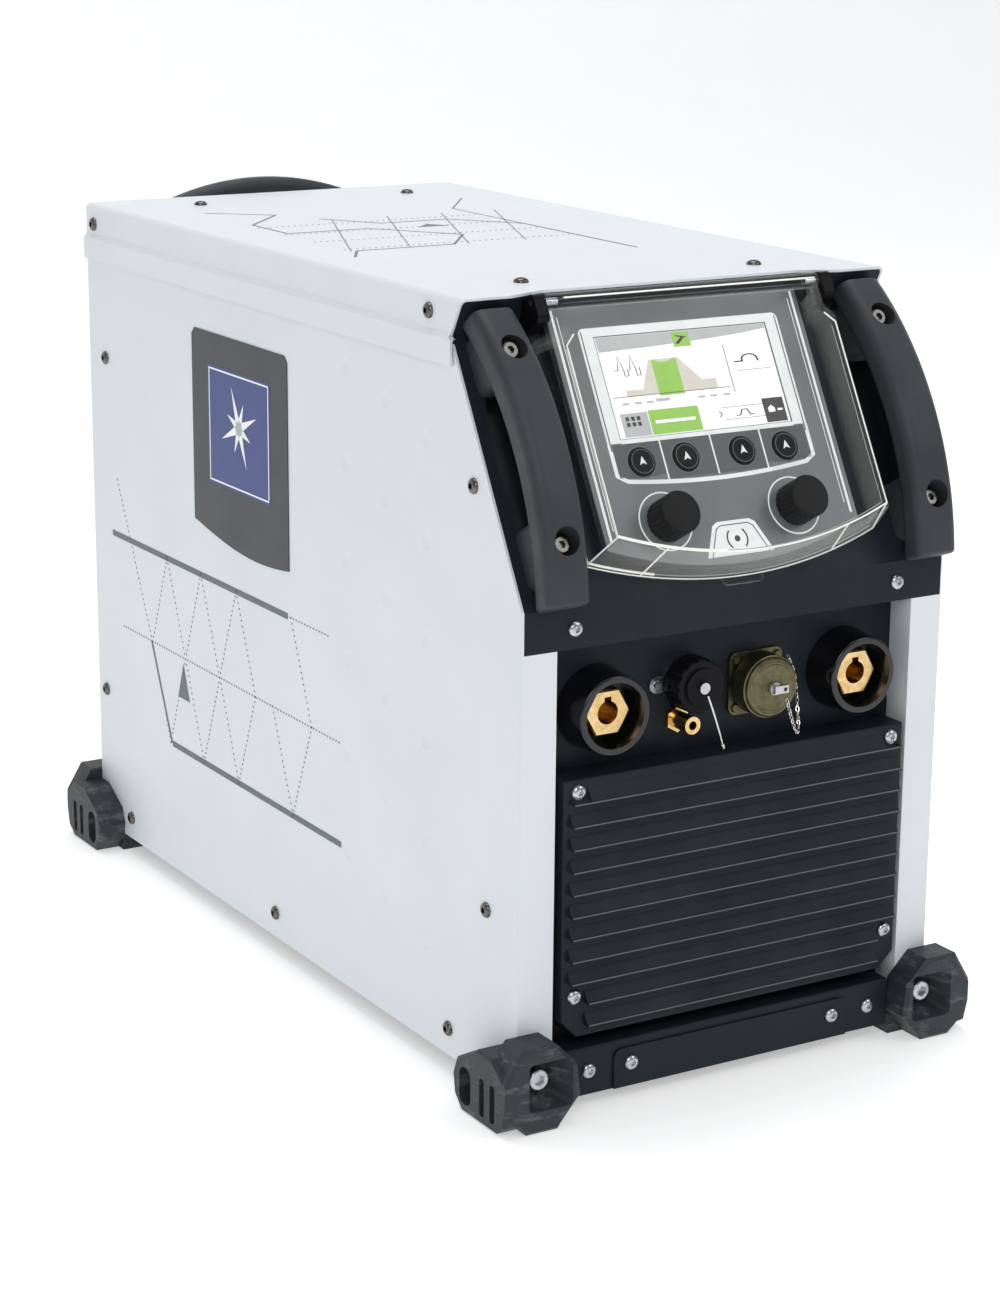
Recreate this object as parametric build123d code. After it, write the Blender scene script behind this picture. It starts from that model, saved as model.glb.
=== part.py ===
from build123d import *
import os
from math import atan2, cos, pi, sin, sqrt

# TIG welding machine, in millimetres.
# Pieces are drawn in the body frame: x to the right, y = 0 at the front flanges and growing to the
# rear, z = 0 at the lower edge of the side panels. write() moves each piece to the part's frame,
# whose origin is on the ground under the middle of the machine.

# ---- overall sizes
BODY_WIDTH = 280.0
BODY_LENGTH = 560.0
BODY_HEIGHT = 430.0
GROUND_GAP = 12.0        # from the ground to the side panels' lower edge
FRONT_REACH = 20.0       # feet in front of the flanges, and behind the body
REAR_REACH = 32.0        # rear handle behind the body
FOOT_SIDE = 19.0         # feet outside the side panels

# ---- sheet metal
SHEET = 1.5
PLATE = 2.0
JOGGLE = 2.3             # how far the cover's lower band stands out
DIMPLE_RADIUS = 5.5
DIMPLE_DEPTH = 0.8
CORNER_RADIUS = 4.0
FLANGE_WIDTH = 22.0
RECESS = 18.0            # connection panel behind the flanges
BAND_TOP = 407.5
BAND_BOTTOM = 393.5
PANEL_TOP = 405.0

# ---- console
KNEE_HEIGHT = 274.0
STRIP_BOTTOM = 251.0
CONSOLE_DEPTH = 76.0     # the slope's upper end behind the flanges
CONSOLE_TOP = 409.0
BEZEL_WALL = 3.0
VISOR_EAR_Y = 65.0       # front edge of the top cover beside the handles
VISOR_MIDDLE_Y = 74.5    # and behind the clear cover
EAR_INNER_X = 112.0
EAR_RAMP_X = 85.0
RETURN_END_Y = 116.0
DECK_TOP = 5.5
DECK_WALL = 2.5
DECK_HALF = 85.0
DECK_LOW = (24.0, 8.0)   # lower edge of the deck at its corners and at its middle
DECK_HIGH = 166.0
OVERLAY = 1.5
OVERLAY_MARGIN = 2.0
SCREEN = (113.0, 58.5)
SCREEN_S = 115.5
BUTTON_S = 72.4
BUTTON_X = (-47.5, -18.7, 18.7, 47.5)
BUTTON_RADIUS = 8.2
BUTTON_TRAVEL = 0.8
KNOB_X = 42.5
KNOB_S = 38.0
KNOB_RADIUS = 12.0
KNOB_TOP = 24.5
SHAFT_RADIUS = 3.0
SHAFT_LOW = -4.3
KNOB_LOW = DECK_TOP + OVERLAY + 0.6
BOARD_TOP = -11.0       # control board under the console
RUNNING = 0.05           # radial clearance of a shaft that turns
GAP = 0.3                # clearance of pieces that move past each other

# ---- clear cover
COVER_HALF = 96.0
COVER_LOW = (20.0, 3.5)
COVER_WAIST_S = 148.0    # above it the cover is narrow, beside the hinge brackets
COVER_NECK_HALF = 90.0
COVER_FRONT = 28.8
COVER_WALL = 2.4
COVER_DRAFT = 14.0
HINGE_S = 163.0
HINGE_O = 19.0
BARREL_RADIUS = 4.5
PIN_RADIUS = 2.0

# ---- handles
HANDLE_X = 121.5
HANDLE_WIDTH = 27.0
HANDLE_THICKNESS = 19.5
HANDLE_ARC = 195.0
HANDLE_LOW = -4.0
HANDLE_HIGH = 162.0
HANDLE_PEAK = 39.0
HANDLE_EDGE = 7.0
BOLT_INSET = 26.0        # handle bolts from the ends
HANDLE_BOLT_RADIUS = 3.0
POCKET_DEPTH = 16.0

# ---- connection panel
SOCKET_X = 83.0
SOCKET_Z = 211.5
SHROUD_RIM = 22.0
SHROUD_BASE = 24.0
SHROUD_LENGTH = 22.0
SHROUD_BORE = 18.5
PLUG_BORE_RADIUS = 6.5
PLUG_BORE_LENGTH = 30.0
HEX_FLATS = 25.0
TORCH = (-24.5, 218.5)
REMOTE = (22.5, 212.0)
GAS = (-30.0, 197.5)
THREAD_PITCH = 1.5       # of the dust caps, whose turn is coupled to their travel
TORCH_FACE = -1.0        # front of the torch cap
REMOTE_FACE = -1.5       # front of the remote cap

# ---- grille and base plate
GRILLE_HALF = 114.0
GRILLE_Z = (31.0, 179.0)
GRILLE_FRONT = -2.5
LOUVRE_COUNT = 11
LOUVRE_FIRST = 38.0
LOUVRE_PITCH = 12.8
LOUVRE_RISE = 7.6
LOUVRE_REACH = 5.0
LOUVRE_HALF = 110.5
LOUVRE_SHORT_HALF = 99.5
LOUVRE_SHORT_ROWS = 2
LOUVRE_OPEN_HALF = 98.0
LOUVRE_BEAD = 0.75
BASE_FRONT = -3.0
BASE_HALF = 110.5

# ---- free cords: the remote cap's chain and the torch cap's lanyard, along straight runs
CHAIN_DIAMETER = 2.6
CHAIN_ROUTE = [(27.5, -7.0, 206.5), (30.5, -8.0, 195.0), (36.0, -5.5, 185.0), (43.0, 1.5, 182.5),
               (47.0, 8.0, 191.0), (48.0, 11.5, 204.0), (46.5, 12.5, 217.0), (41.5, 12.5, 225.0)]
LANYARD_DIAMETER = 1.3
LANYARD_ROUTE = [(-23.4, -4.2, 214.5), (-20.5, -5.2, 206.0), (-17.5, -5.2, 197.5), (-14.0, -4.0, 189.5),
                 (-10.0, -1.0, 182.0)]

# ---- screws
SCREW_HEAD = 4.4
SCREW_HEIGHT = 2.4
SCREW_RADIUS = 2.5
SCREW_LENGTH = 5.0
HOLE_SLACK = 0.1

# ---- inside and rear
FAN_HALF = 60.0
FAN_Z = 170.0
FAN_DEPTH = 38.0
SWITCH = (78.0, 352.0)
GLAND = (-78.0, 352.0)
GAS_IN = (-104.0, 62.0)
HOSE_RADIUS = 4.0
REAR_HANDLE_Z = 418.0
REAR_HANDLE_HALF = 96.0
REAR_HANDLE_BOLT = 12.0  # from the rear handle's end

HALF = BODY_WIDTH / 2
LEAN = atan2(CONSOLE_DEPTH, CONSOLE_TOP - KNEE_HEIGHT)
CONSOLE = Plane(origin=(0, 0, KNEE_HEIGHT), x_dir=(1, 0, 0), z_dir=(0, -cos(LEAN), sin(LEAN)))
FRONT_Y = -(BODY_LENGTH + REAR_REACH - FRONT_REACH) / 2
REAR_PLATE = BODY_LENGTH - SHEET - PLATE   # front face of the rear panel's plate
REAR_FACE = BODY_LENGTH - SHEET            # and its outer face
FLOOR_TOP = 4.0


def block(x, y, z):
    """A box between two limits on each axis."""
    sizes = [high - low for low, high in (x, y, z)]
    return Pos(*[(low + high) / 2 for low, high in (x, y, z)]) * Box(*sizes)


def rod(start, direction, radius, length):
    """A cylinder from a point, along a direction."""
    place = Plane(origin=start, z_dir=direction)
    return place * Cylinder(radius, length, align=(Align.CENTER, Align.CENTER, Align.MIN))


def prism_x(points, low, high):
    """A (y, z) outline drawn out along x."""
    face = make_face(Polyline(*[(low, y, z) for y, z in points], close=True))
    return extrude(face, high - low, dir=(1, 0, 0))


def prism_y(points, low, high):
    """An (x, z) outline drawn out along y."""
    face = make_face(Polyline(*[(x, low, z) for x, z in points], close=True))
    return extrude(face, high - low, dir=(0, 1, 0))


def prism_z(points, low, high):
    """An (x, y) outline drawn out along z."""
    face = make_face(Polyline(*[(x, y, low) for x, y in points], close=True))
    return extrude(face, high - low, dir=(0, 0, 1))


def slab(outline, low, high):
    """A flat outline in the console's own axes, drawn out between two heights above the slope."""
    return Pos(0, 0, low) * extrude(make_face(outline), high - low)


def mirrored(shape):
    return mirror(shape, about=Plane.YZ)


def both(shape):
    return shape + mirrored(shape)


def group(shapes):
    """Separate solids in one node."""
    solids = [solid for shape in shapes for solid in shape.solids()]
    return Compound(solids)


def write(name, shape):
    placed = Pos(0, FRONT_Y, GROUND_GAP) * shape
    export_step(placed, f"parts/{name}.step")


# ---- screws: a list of (point on the surface, outward direction)

def side_places():
    rear = BODY_LENGTH
    spots = [(rear - 26, 330), (50, 333), (rear - 13, 98), (rear - 50, 15), (rear * 0.52, 16), (75, 16),
             (34, 100), (98.6, 420), (rear - 12, 417)]
    places = []
    for y, z in spots:
        places += [((HALF, y, z), (1, 0, 0)), ((-HALF, y, z), (-1, 0, 0))]
    return places


def top_places():
    return [((x, y, BODY_HEIGHT), (0, 0, 1)) for x in (-78, 78) for y in (106, BODY_LENGTH - 46)]


def strip_places():
    return [((x, 0, 262), (0, -1, 0)) for x in (-107, 107)]


def grille_places():
    spots = [(105, GRILLE_Z[1] - 7), (106, 55)]
    return [((side * x, GRILLE_FRONT, z), (0, -1, 0)) for side in (-1, 1) for x, z in spots]


def base_places():
    return [((x, BASE_FRONT, 10), (0, -1, 0)) for x in (-96, 96)]


def access_places():
    return [((x, BASE_FRONT - SHEET, 10), (0, -1, 0)) for x in (-69, 69)]


def rear_places():
    return [((side * 133, BODY_LENGTH, z), (0, 1, 0)) for side in (-1, 1) for z in (390, 215, 45)]


def screw_pattern():
    dome = (SCREW_HEAD ** 2 + SCREW_HEIGHT ** 2) / (2 * SCREW_HEIGHT)
    head = Pos(0, 0, SCREW_HEIGHT - dome) * Sphere(dome) & rod((0, 0, 0), (0, 0, 1), dome, SCREW_HEIGHT)
    socket = Pos(0, 0, SCREW_HEIGHT - 1.3) * extrude(RegularPolygon(1.7, 6), 2)
    shank = rod((0, 0, 0), (0, 0, -1), SCREW_RADIUS, SCREW_LENGTH)
    return head - socket + shank


def screws(places):
    pattern = screw_pattern()
    return group([Plane(origin=point, z_dir=out) * pattern for point, out in places])


def drill(shape, places, depth=SCREW_LENGTH + 1, radius=SCREW_RADIUS):
    """Screw holes through the sheets at the given places."""
    for point, out in places:
        start = [p + 2 * o for p, o in zip(point, out)]
        inward = [-o for o in out]
        shape -= rod(start, inward, radius + HOLE_SLACK, depth + 2)
    return shape


# ---- body panels

def side_panel():
    """The right-hand panel: wall, front and rear flanges, a tongue under the cover, and dimples."""
    inner = HALF - SHEET
    slope_y = (PANEL_TOP - KNEE_HEIGHT) * CONSOLE_DEPTH / (CONSOLE_TOP - KNEE_HEIGHT)
    outline = [(0, 0), (0, KNEE_HEIGHT), (slope_y, PANEL_TOP), (BODY_LENGTH, PANEL_TOP), (BODY_LENGTH, 0)]
    panel = prism_x(outline, inner, HALF)
    panel += block((HALF - FLANGE_WIDTH, HALF), (0, SHEET), (0, STRIP_BOTTOM))
    panel = fillet(panel.edges().filter_by(Axis.Z).filter_by(
        lambda e: abs(e.center().X - HALF) < 0.01 and abs(e.center().Y) < 0.01
        and e.center().Z < STRIP_BOTTOM), SHEET * 0.9)
    panel += block((HALF - FLANGE_WIDTH, HALF - FLANGE_WIDTH + SHEET), (0, RECESS), (0, STRIP_BOTTOM))
    panel += block((HALF - 12, HALF), (REAR_FACE, BODY_LENGTH), (0, PANEL_TOP))
    tongue = (RETURN_END_Y + 4, REAR_PLATE)
    panel += block((inner - SHEET, HALF), tongue, (PANEL_TOP - SHEET * 2, PANEL_TOP))
    panel += block((inner - SHEET, inner), tongue, (PANEL_TOP - SHEET, BODY_HEIGHT - SHEET - CORNER_RADIUS))
    bumps = [rod((inner - DIMPLE_DEPTH, y, z), (1, 0, 0), DIMPLE_RADIUS, DIMPLE_DEPTH)
             for y, z in dimple_places()]
    panel += bumps
    ball = (DIMPLE_RADIUS ** 2 + DIMPLE_DEPTH ** 2) / (2 * DIMPLE_DEPTH)
    panel -= [Pos(HALF - DIMPLE_DEPTH + ball, y, z) * Sphere(ball) for y, z in dimple_places()]
    return drill(panel, side_places() + rear_places())


def dimple_places():
    """Two full columns and a staggered middle one."""
    rows = (364, 307.5, 251, 192.5, 134, 74)
    places = [(194.0, z + 12) for z in rows] + [(101.0, z - 14) for z in rows]
    return places + [(148.0, z) for z in rows]


def top_cover():
    """A channel with rounded edges, a joggled band along each side, and a notched front edge."""
    start, end = VISOR_EAR_Y, BODY_LENGTH
    shell = block((-HALF, HALF), (start, end), (BAND_TOP, BODY_HEIGHT))
    shell = fillet(shell.edges().filter_by(Axis.Y).group_by(Axis.Z)[-1], CORNER_RADIUS)
    shell -= under_cover(BAND_TOP - 1, CORNER_RADIUS - SHEET)
    low, out = BAND_TOP, HALF + JOGGLE
    band = prism_y([(HALF - SHEET, low + 3.5), (HALF, low + 3), (out, low), (out, BAND_BOTTOM),
                    (out - SHEET, BAND_BOTTOM), (out - SHEET, low - 1), (HALF, low), (HALF - SHEET, low)],
                   CONSOLE_DEPTH - 4, end)
    shell += both(band)
    ear = prism_x([(start - 1, BODY_HEIGHT + 1), (start - 0.6, BODY_HEIGHT), (CONSOLE_DEPTH, CONSOLE_TOP),
                   (CONSOLE_DEPTH - 4, CONSOLE_TOP - 2), (CONSOLE_DEPTH - 4, BAND_BOTTOM - 1),
                   (start - 1, BAND_BOTTOM - 1)],
                  -HALF - JOGGLE - 1, HALF + JOGGLE + 1)
    notch = prism_z([(-EAR_INNER_X, start - 1), (-EAR_RAMP_X, VISOR_MIDDLE_Y), (EAR_RAMP_X, VISOR_MIDDLE_Y),
                     (EAR_INNER_X, start - 1)], BODY_HEIGHT - CORNER_RADIUS, BODY_HEIGHT + 1)
    shell -= ear
    shell -= notch
    lip_half = HALF - CORNER_RADIUS
    shell += block((-lip_half, lip_half), (REAR_FACE, end), (BODY_HEIGHT - 14, BODY_HEIGHT - SHEET))
    return drill(shell, side_places() + top_places())


def under_cover(low, radius):
    """The space inside the cover, down to a height, with rounded upper edges."""
    inner = HALF - SHEET
    space = block((-inner, inner), (-1, BODY_LENGTH + 1), (low, BODY_HEIGHT - SHEET))
    return fillet(space.edges().filter_by(Axis.Y).group_by(Axis.Z)[-1], radius)


def base_tray():
    """The floor of the machine, turned up at its sides, front and rear."""
    inner = HALF - SHEET
    front_half = BASE_HALF
    floor_low = FLOOR_TOP - PLATE
    tray = block((-inner, inner), (RECESS + PLATE, REAR_PLATE), (floor_low, FLOOR_TOP))
    tray += block((-front_half, front_half), (BASE_FRONT + PLATE, RECESS + PLATE), (floor_low, FLOOR_TOP))
    tray += block((-front_half, front_half), (BASE_FRONT + PLATE, BASE_FRONT + 2 * PLATE), (floor_low, 20))
    tray += both(block((inner - PLATE, inner), (RECESS + PLATE, REAR_PLATE), (floor_low, 28)))
    places = side_places() + base_places() + access_places()
    return drill(tray, places)


def front_base_plate():
    """An angle across the front between the feet, with a ledge on top."""
    half = BASE_HALF
    plate = block((-half, half), (BASE_FRONT, BASE_FRONT + PLATE), (-4, 24))
    plate = fillet(plate.edges().filter_by(Axis.X).group_by(Axis.Z)[-1].group_by(Axis.Y)[0], 1.5)
    plate += block((-half, half), (BASE_FRONT + PLATE, RECESS), (24 - PLATE, 24))
    return drill(plate, base_places() + access_places(), SCREW_LENGTH + 3)


def access_plate():
    """The smaller plate on the base plate, with rounded upper corners."""
    plate = block((-80, 80), (BASE_FRONT - SHEET, BASE_FRONT), (-4, 19))
    upper = plate.edges().filter_by(Axis.Y).group_by(Axis.Z)[-1]
    return drill(fillet(upper, 5), access_places(), SCREW_LENGTH + 3)


def rear_panel():
    """Plate with side and top flanges; it carries the fan, the switch, the gland and the gas inlet."""
    inner = HALF - SHEET
    flange = (REAR_PLATE - 28, REAR_PLATE)
    panel = block((-inner, inner), (REAR_PLATE, REAR_FACE), (FLOOR_TOP, BODY_HEIGHT - SHEET))
    panel += both(block((inner - PLATE, inner), flange, (30, PANEL_TOP - SHEET * 2)))
    top_half = inner - SHEET
    panel += block((-top_half, top_half), (BODY_LENGTH - 60, REAR_PLATE),
                   (BODY_HEIGHT - SHEET - PLATE, BODY_HEIGHT - SHEET))
    panel += both(block((top_half - PLATE, top_half), flange,
                        (PANEL_TOP, BODY_HEIGHT - SHEET)))
    through = (0, 1, 0)
    panel -= rod((0, REAR_PLATE - 1, FAN_Z), through, FAN_HALF - 3, PLATE + 2)
    panel -= rod((SWITCH[0], REAR_PLATE - 1, SWITCH[1]), through, 11, PLATE + 2)
    panel -= rod((GLAND[0], REAR_PLATE - 1, GLAND[1]), through, 12.5, PLATE + 2)
    panel -= rod((GAS_IN[0], REAR_PLATE - 1, GAS_IN[1]), through, 6.5, PLATE + 2)
    panel &= under_cover(0, CORNER_RADIUS - SHEET / 2)
    panel = drill(panel, side_places() + top_places() + rear_places())
    return drill(panel, rear_handle_places(), radius=HANDLE_BOLT_RADIUS)


def connector_panel():
    """The recessed panel behind the flanges, with sockets' holes and standoffs for the grille."""
    inner = HALF - SHEET
    panel = block((-inner, inner), (RECESS, RECESS + PLATE), (FLOOR_TOP, STRIP_BOTTOM))
    panel += both(block((inner - PLATE, inner), (RECESS, RECESS + 26), (30, STRIP_BOTTOM - 1)))
    panel -= block((-90, 90), (RECESS - 1, RECESS + PLATE + 1), (42, GRILLE_Z[1] - 18))
    back = (0, 1, 0)
    for x in (-SOCKET_X, SOCKET_X):
        panel -= rod((x, RECESS - 1, SOCKET_Z), back, 10.5, PLATE + 2)
    for (x, z), radius in ((TORCH, 8.5), (REMOTE, 12.5), (GAS, 5.2)):
        panel -= rod((x, RECESS - 1, z), back, radius, PLATE + 2)
    for (x, _, z), out in grille_places():
        panel += rod((x, GRILLE_FRONT + SHEET, z), back, 5, RECESS - GRILLE_FRONT - SHEET)
    return drill(panel, side_places() + grille_places())


def front_grille():
    """A box-shaped louvred grille: front plate with chamfered lower corners, rim and louvres."""
    low, high = GRILLE_Z
    chamfer_size = 10
    outline = [(-GRILLE_HALF, high), (-GRILLE_HALF, low + chamfer_size), (-GRILLE_HALF + chamfer_size, low),
               (GRILLE_HALF - chamfer_size, low), (GRILLE_HALF, low + chamfer_size), (GRILLE_HALF, high)]
    shrink = SHEET
    inside = [(-GRILLE_HALF + shrink, high - shrink), (-GRILLE_HALF + shrink, low + chamfer_size),
              (-GRILLE_HALF + chamfer_size, low + shrink), (GRILLE_HALF - chamfer_size, low + shrink),
              (GRILLE_HALF - shrink, low + chamfer_size), (GRILLE_HALF - shrink, high - shrink)]
    grille = prism_y(outline, GRILLE_FRONT, RECESS)
    grille = fillet(grille.faces().sort_by(Axis.Y)[0].edges(), 1.2)
    grille -= prism_y(inside, GRILLE_FRONT + SHEET, RECESS + 1)
    lip = GRILLE_FRONT - LOUVRE_REACH
    for row in range(LOUVRE_COUNT):
        z = LOUVRE_FIRST + row * LOUVRE_PITCH
        top = z + LOUVRE_RISE
        half = LOUVRE_SHORT_HALF if row < LOUVRE_SHORT_ROWS else LOUVRE_HALF
        grille -= block((-LOUVRE_OPEN_HALF, LOUVRE_OPEN_HALF), (GRILLE_FRONT - 1, GRILLE_FRONT + SHEET + 1),
                        (z + 0.5, top - 1.6))
        grille += prism_x([(GRILLE_FRONT + 0.3, top), (lip, z), (lip + 1.1, z - 0.4),
                           (GRILLE_FRONT + 1.4, top - 0.6)], -half, half)
        end = [(GRILLE_FRONT + 0.3, top), (lip, z), (GRILLE_FRONT + 0.3, z)]
        grille += both(prism_x(end, half - 1.1, half))
        grille += rod((-half, lip + 0.6, z), (1, 0, 0), LOUVRE_BEAD, 2 * half)
    for (x, _, z), _ in grille_places():
        grille -= block((x - 5.5, x + 6), (lip - 1, GRILLE_FRONT), (z - 4.9, z + 5.5))
    return drill(grille, grille_places())


# ---- console

def curved_outline(half, low, high):
    """Straight sides and top, and a lower edge that bows down in the middle."""
    corner, middle = low
    bow = ThreePointArc((-half, corner), (0, middle), (half, corner))
    rest = Polyline((half, corner), (half, high), (-half, high), (-half, corner))
    return bow + rest


def pocket_outline(grow):
    """The finger pocket behind a handle: bowed outer side, straight inner side."""
    outer, inner = HANDLE_X + 8, HANDLE_X - 14
    low, high = 40.0 - grow, 126.0 + grow
    middle = (low + high) / 2
    bow = ThreePointArc((outer - 3, low), (outer + 2.5 + grow, middle), (outer - 3, high))
    rest = Polyline((outer - 3, high), (inner - grow, high - 8), (inner - grow, low + 8), (outer - 3, low))
    return bow + rest


def console_bezel():
    """The dark console: strip, slope and upper band bent from one shell, side flanges and deck."""
    inner = HALF - SHEET
    wall, top = BEZEL_WALL, BODY_HEIGHT - SHEET
    depth, crest = CONSOLE_DEPTH, CONSOLE_TOP
    upper = VISOR_MIDDLE_Y + 1
    skin = prism_x([(RECESS, STRIP_BOTTOM), (0, STRIP_BOTTOM), (0, KNEE_HEIGHT), (depth, crest),
                    (upper, top), (RETURN_END_Y, top), (RETURN_END_Y, top - 2.5), (upper + wall, top - 2.5),
                    (depth + wall, crest - 0.6), (wall, KNEE_HEIGHT - 0.6), (wall, STRIP_BOTTOM + 2.5),
                    (RECESS, STRIP_BOTTOM + 2.5)], -inner, inner)
    flange = prism_x([(0, STRIP_BOTTOM), (0, KNEE_HEIGHT), (depth, crest), (upper, top),
                      (RETURN_END_Y, top),
                      (RETURN_END_Y, 400), (depth + 27, 400), (32, KNEE_HEIGHT), (32, STRIP_BOTTOM)],
                     inner - 2.5, inner)
    bezel = skin + both(flange) + visor_ears()
    deck = curved_outline(DECK_HALF, DECK_LOW, DECK_HIGH)
    cavity = curved_outline(DECK_HALF - DECK_WALL, [s + DECK_WALL for s in DECK_LOW], DECK_HIGH - 10)
    bezel += CONSOLE * slab(deck, -1.5, DECK_TOP)
    for side in (1, -1):
        tub = slab(pocket_outline(2), -POCKET_DEPTH - 2, -1)
        pocket = slab(pocket_outline(0), -POCKET_DEPTH, 2)
        tub = tub if side > 0 else mirrored(tub)
        pocket = pocket if side > 0 else mirrored(pocket)
        bezel = bezel + CONSOLE * tub - CONSOLE * pocket
    bezel -= CONSOLE * slab(cavity, -BEZEL_WALL - 2, DECK_TOP - DECK_WALL)
    bezel -= CONSOLE * (Pos(0, SCREEN_S, DECK_TOP) * Box(SCREEN[0] + 1, SCREEN[1] + 1, 4 * DECK_WALL))
    for x in BUTTON_X:
        bezel -= CONSOLE * (Pos(x, BUTTON_S, DECK_TOP) * Cylinder(3.3, 4 * DECK_WALL))
    for x in (-KNOB_X, KNOB_X):
        bezel -= CONSOLE * (Pos(x, KNOB_S, DECK_TOP) * Cylinder(4.6, 4 * DECK_WALL))
    for x, s in handle_bolt_spots():
        bezel -= CONSOLE * (Pos(x, s, 0) * Cylinder(HANDLE_BOLT_RADIUS + HOLE_SLACK, 12))
    bezel &= under_cover(0, CORNER_RADIUS - SHEET / 2)
    return drill(bezel, side_places() + top_places() + strip_places())


def visor_ears():
    """Beside the handles the upper band leans forward to the cover's front edge."""
    inner = HALF - SHEET
    top = BODY_HEIGHT - SHEET
    ear = VISOR_EAR_Y + 0.6
    upper = VISOR_MIDDLE_Y + 1
    back = upper + BEZEL_WALL
    low_face = make_face(Polyline((EAR_RAMP_X, upper, CONSOLE_TOP), (EAR_INNER_X, CONSOLE_DEPTH, CONSOLE_TOP),
                                  (inner, CONSOLE_DEPTH, CONSOLE_TOP), (inner, back, CONSOLE_TOP),
                                  (EAR_RAMP_X, back, CONSOLE_TOP), close=True))
    high_face = make_face(Polyline((EAR_RAMP_X, upper, top), (EAR_INNER_X, ear, top), (inner, ear, top),
                                   (inner, back, top), (EAR_RAMP_X, back, top), close=True))
    return both(loft([low_face, high_face], ruled=True))


def face_plate():
    """The printed overlay plate on the deck, with the display window, button and shaft holes."""
    low = [s + OVERLAY_MARGIN for s in DECK_LOW]
    outline = curved_outline(DECK_HALF - OVERLAY_MARGIN, low, DECK_HIGH - 3)
    plate = slab(outline, DECK_TOP, DECK_TOP + OVERLAY)
    plate -= Pos(0, SCREEN_S, DECK_TOP) * Box(SCREEN[0] + 0.4, SCREEN[1] + 0.4, 4 * OVERLAY)
    for x in BUTTON_X:
        plate -= Pos(x, BUTTON_S, DECK_TOP) * Cylinder(BUTTON_RADIUS + GAP, 4 * OVERLAY)
    for x in (-KNOB_X, KNOB_X):
        plate -= Pos(x, KNOB_S, DECK_TOP) * Cylinder(4.6, 4 * OVERLAY)
    return CONSOLE * plate


def display_module():
    """Glass flush in the window, in a housing that stands on the control board."""
    wide, tall = SCREEN
    glass_top = DECK_TOP + OVERLAY - 0.3
    glass = Pos(0, SCREEN_S, (BOARD_TOP + glass_top) / 2) * Box(wide, tall, glass_top - BOARD_TOP)
    seat = DECK_TOP - DECK_WALL
    housing = Pos(0, SCREEN_S, (BOARD_TOP + seat) / 2) * Box(wide + 11, tall + 8, seat - BOARD_TOP)
    return CONSOLE * (glass + housing)


def control_board():
    """Printed board with the encoders' bodies and the buttons' switches soldered on."""
    board = Pos(0, 86, BOARD_TOP - 0.8) * Box(146, 126, 1.6)
    for x in (-KNOB_X, KNOB_X):
        body = Pos(x, KNOB_S, (BOARD_TOP - 5) / 2) * Box(14, 14, -5 - BOARD_TOP)
        bush = Pos(x, KNOB_S, (DECK_TOP + OVERLAY - 5) / 2) * Cylinder(4.5, DECK_TOP + OVERLAY + 5)
        board += body + bush
        board -= Pos(x, KNOB_S, 2) * Cylinder(SHAFT_RADIUS + RUNNING, 13)
    for x in BUTTON_X:
        board += Pos(x, BUTTON_S, (BOARD_TOP - 4.2) / 2) * Box(6, 6, -4.2 - BOARD_TOP)
        board += Pos(x, BUTTON_S, -4) * Cylinder(1.7, 3)
    return CONSOLE * board


def button(x):
    """A round cap in the plate's hole, on a stem that reaches its switch."""
    cap_low = DECK_TOP + BUTTON_TRAVEL + 0.1
    cap_high = DECK_TOP + OVERLAY + 1.2
    cap = Pos(x, BUTTON_S, (cap_low + cap_high) / 2) * Cylinder(BUTTON_RADIUS, cap_high - cap_low)
    cap = fillet(cap.edges().group_by(Axis.Z)[-1], 0.6)
    stem_low = -2.5 + BUTTON_TRAVEL + 0.1
    stem = Pos(x, BUTTON_S, (stem_low + cap_low) / 2) * Cylinder(3.0, cap_low - stem_low)
    return CONSOLE * (cap + stem)


def knob(x):
    """A ribbed knob with a slightly dished end, bored for its shaft."""
    body = Pos(x, KNOB_S, (KNOB_LOW + KNOB_TOP) / 2) * Cylinder(KNOB_RADIUS, KNOB_TOP - KNOB_LOW)
    body = fillet(body.edges().group_by(Axis.Z)[-1], 1.2)
    ribs = 24
    for rib in range(ribs):
        turn = Rot(0, 0, rib * 360 / ribs) * Pos(KNOB_RADIUS + 0.35, 0, 0)
        body -= Pos(x, KNOB_S, KNOB_TOP / 2) * turn * Cylinder(0.8, KNOB_TOP - 4)
    body -= Pos(x, KNOB_S, (KNOB_LOW + 19) / 2) * Cylinder(SHAFT_RADIUS, 19 - KNOB_LOW)
    return CONSOLE * body


def encoder_shaft(x):
    return CONSOLE * (Pos(x, KNOB_S, (SHAFT_LOW + 19) / 2) * Cylinder(SHAFT_RADIUS, 19 - SHAFT_LOW))


# ---- clear cover and its hinge

def cover_outline(inset):
    """The cover's outline: shouldered near the hinge, bowed at the bottom."""
    half, neck = COVER_HALF - inset, COVER_NECK_HALF - inset
    corner, middle = [s + inset for s in COVER_LOW]
    waist, high = COVER_WAIST_S - inset, HINGE_S + 5 - inset
    bow = ThreePointArc((-half, corner), (0, middle), (half, corner))
    rest = Polyline((half, corner), (half, waist - 6), (neck, waist), (neck, high), (-neck, high),
                    (-neck, waist), (-half, waist - 6), (-half, corner))
    return bow + rest


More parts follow.
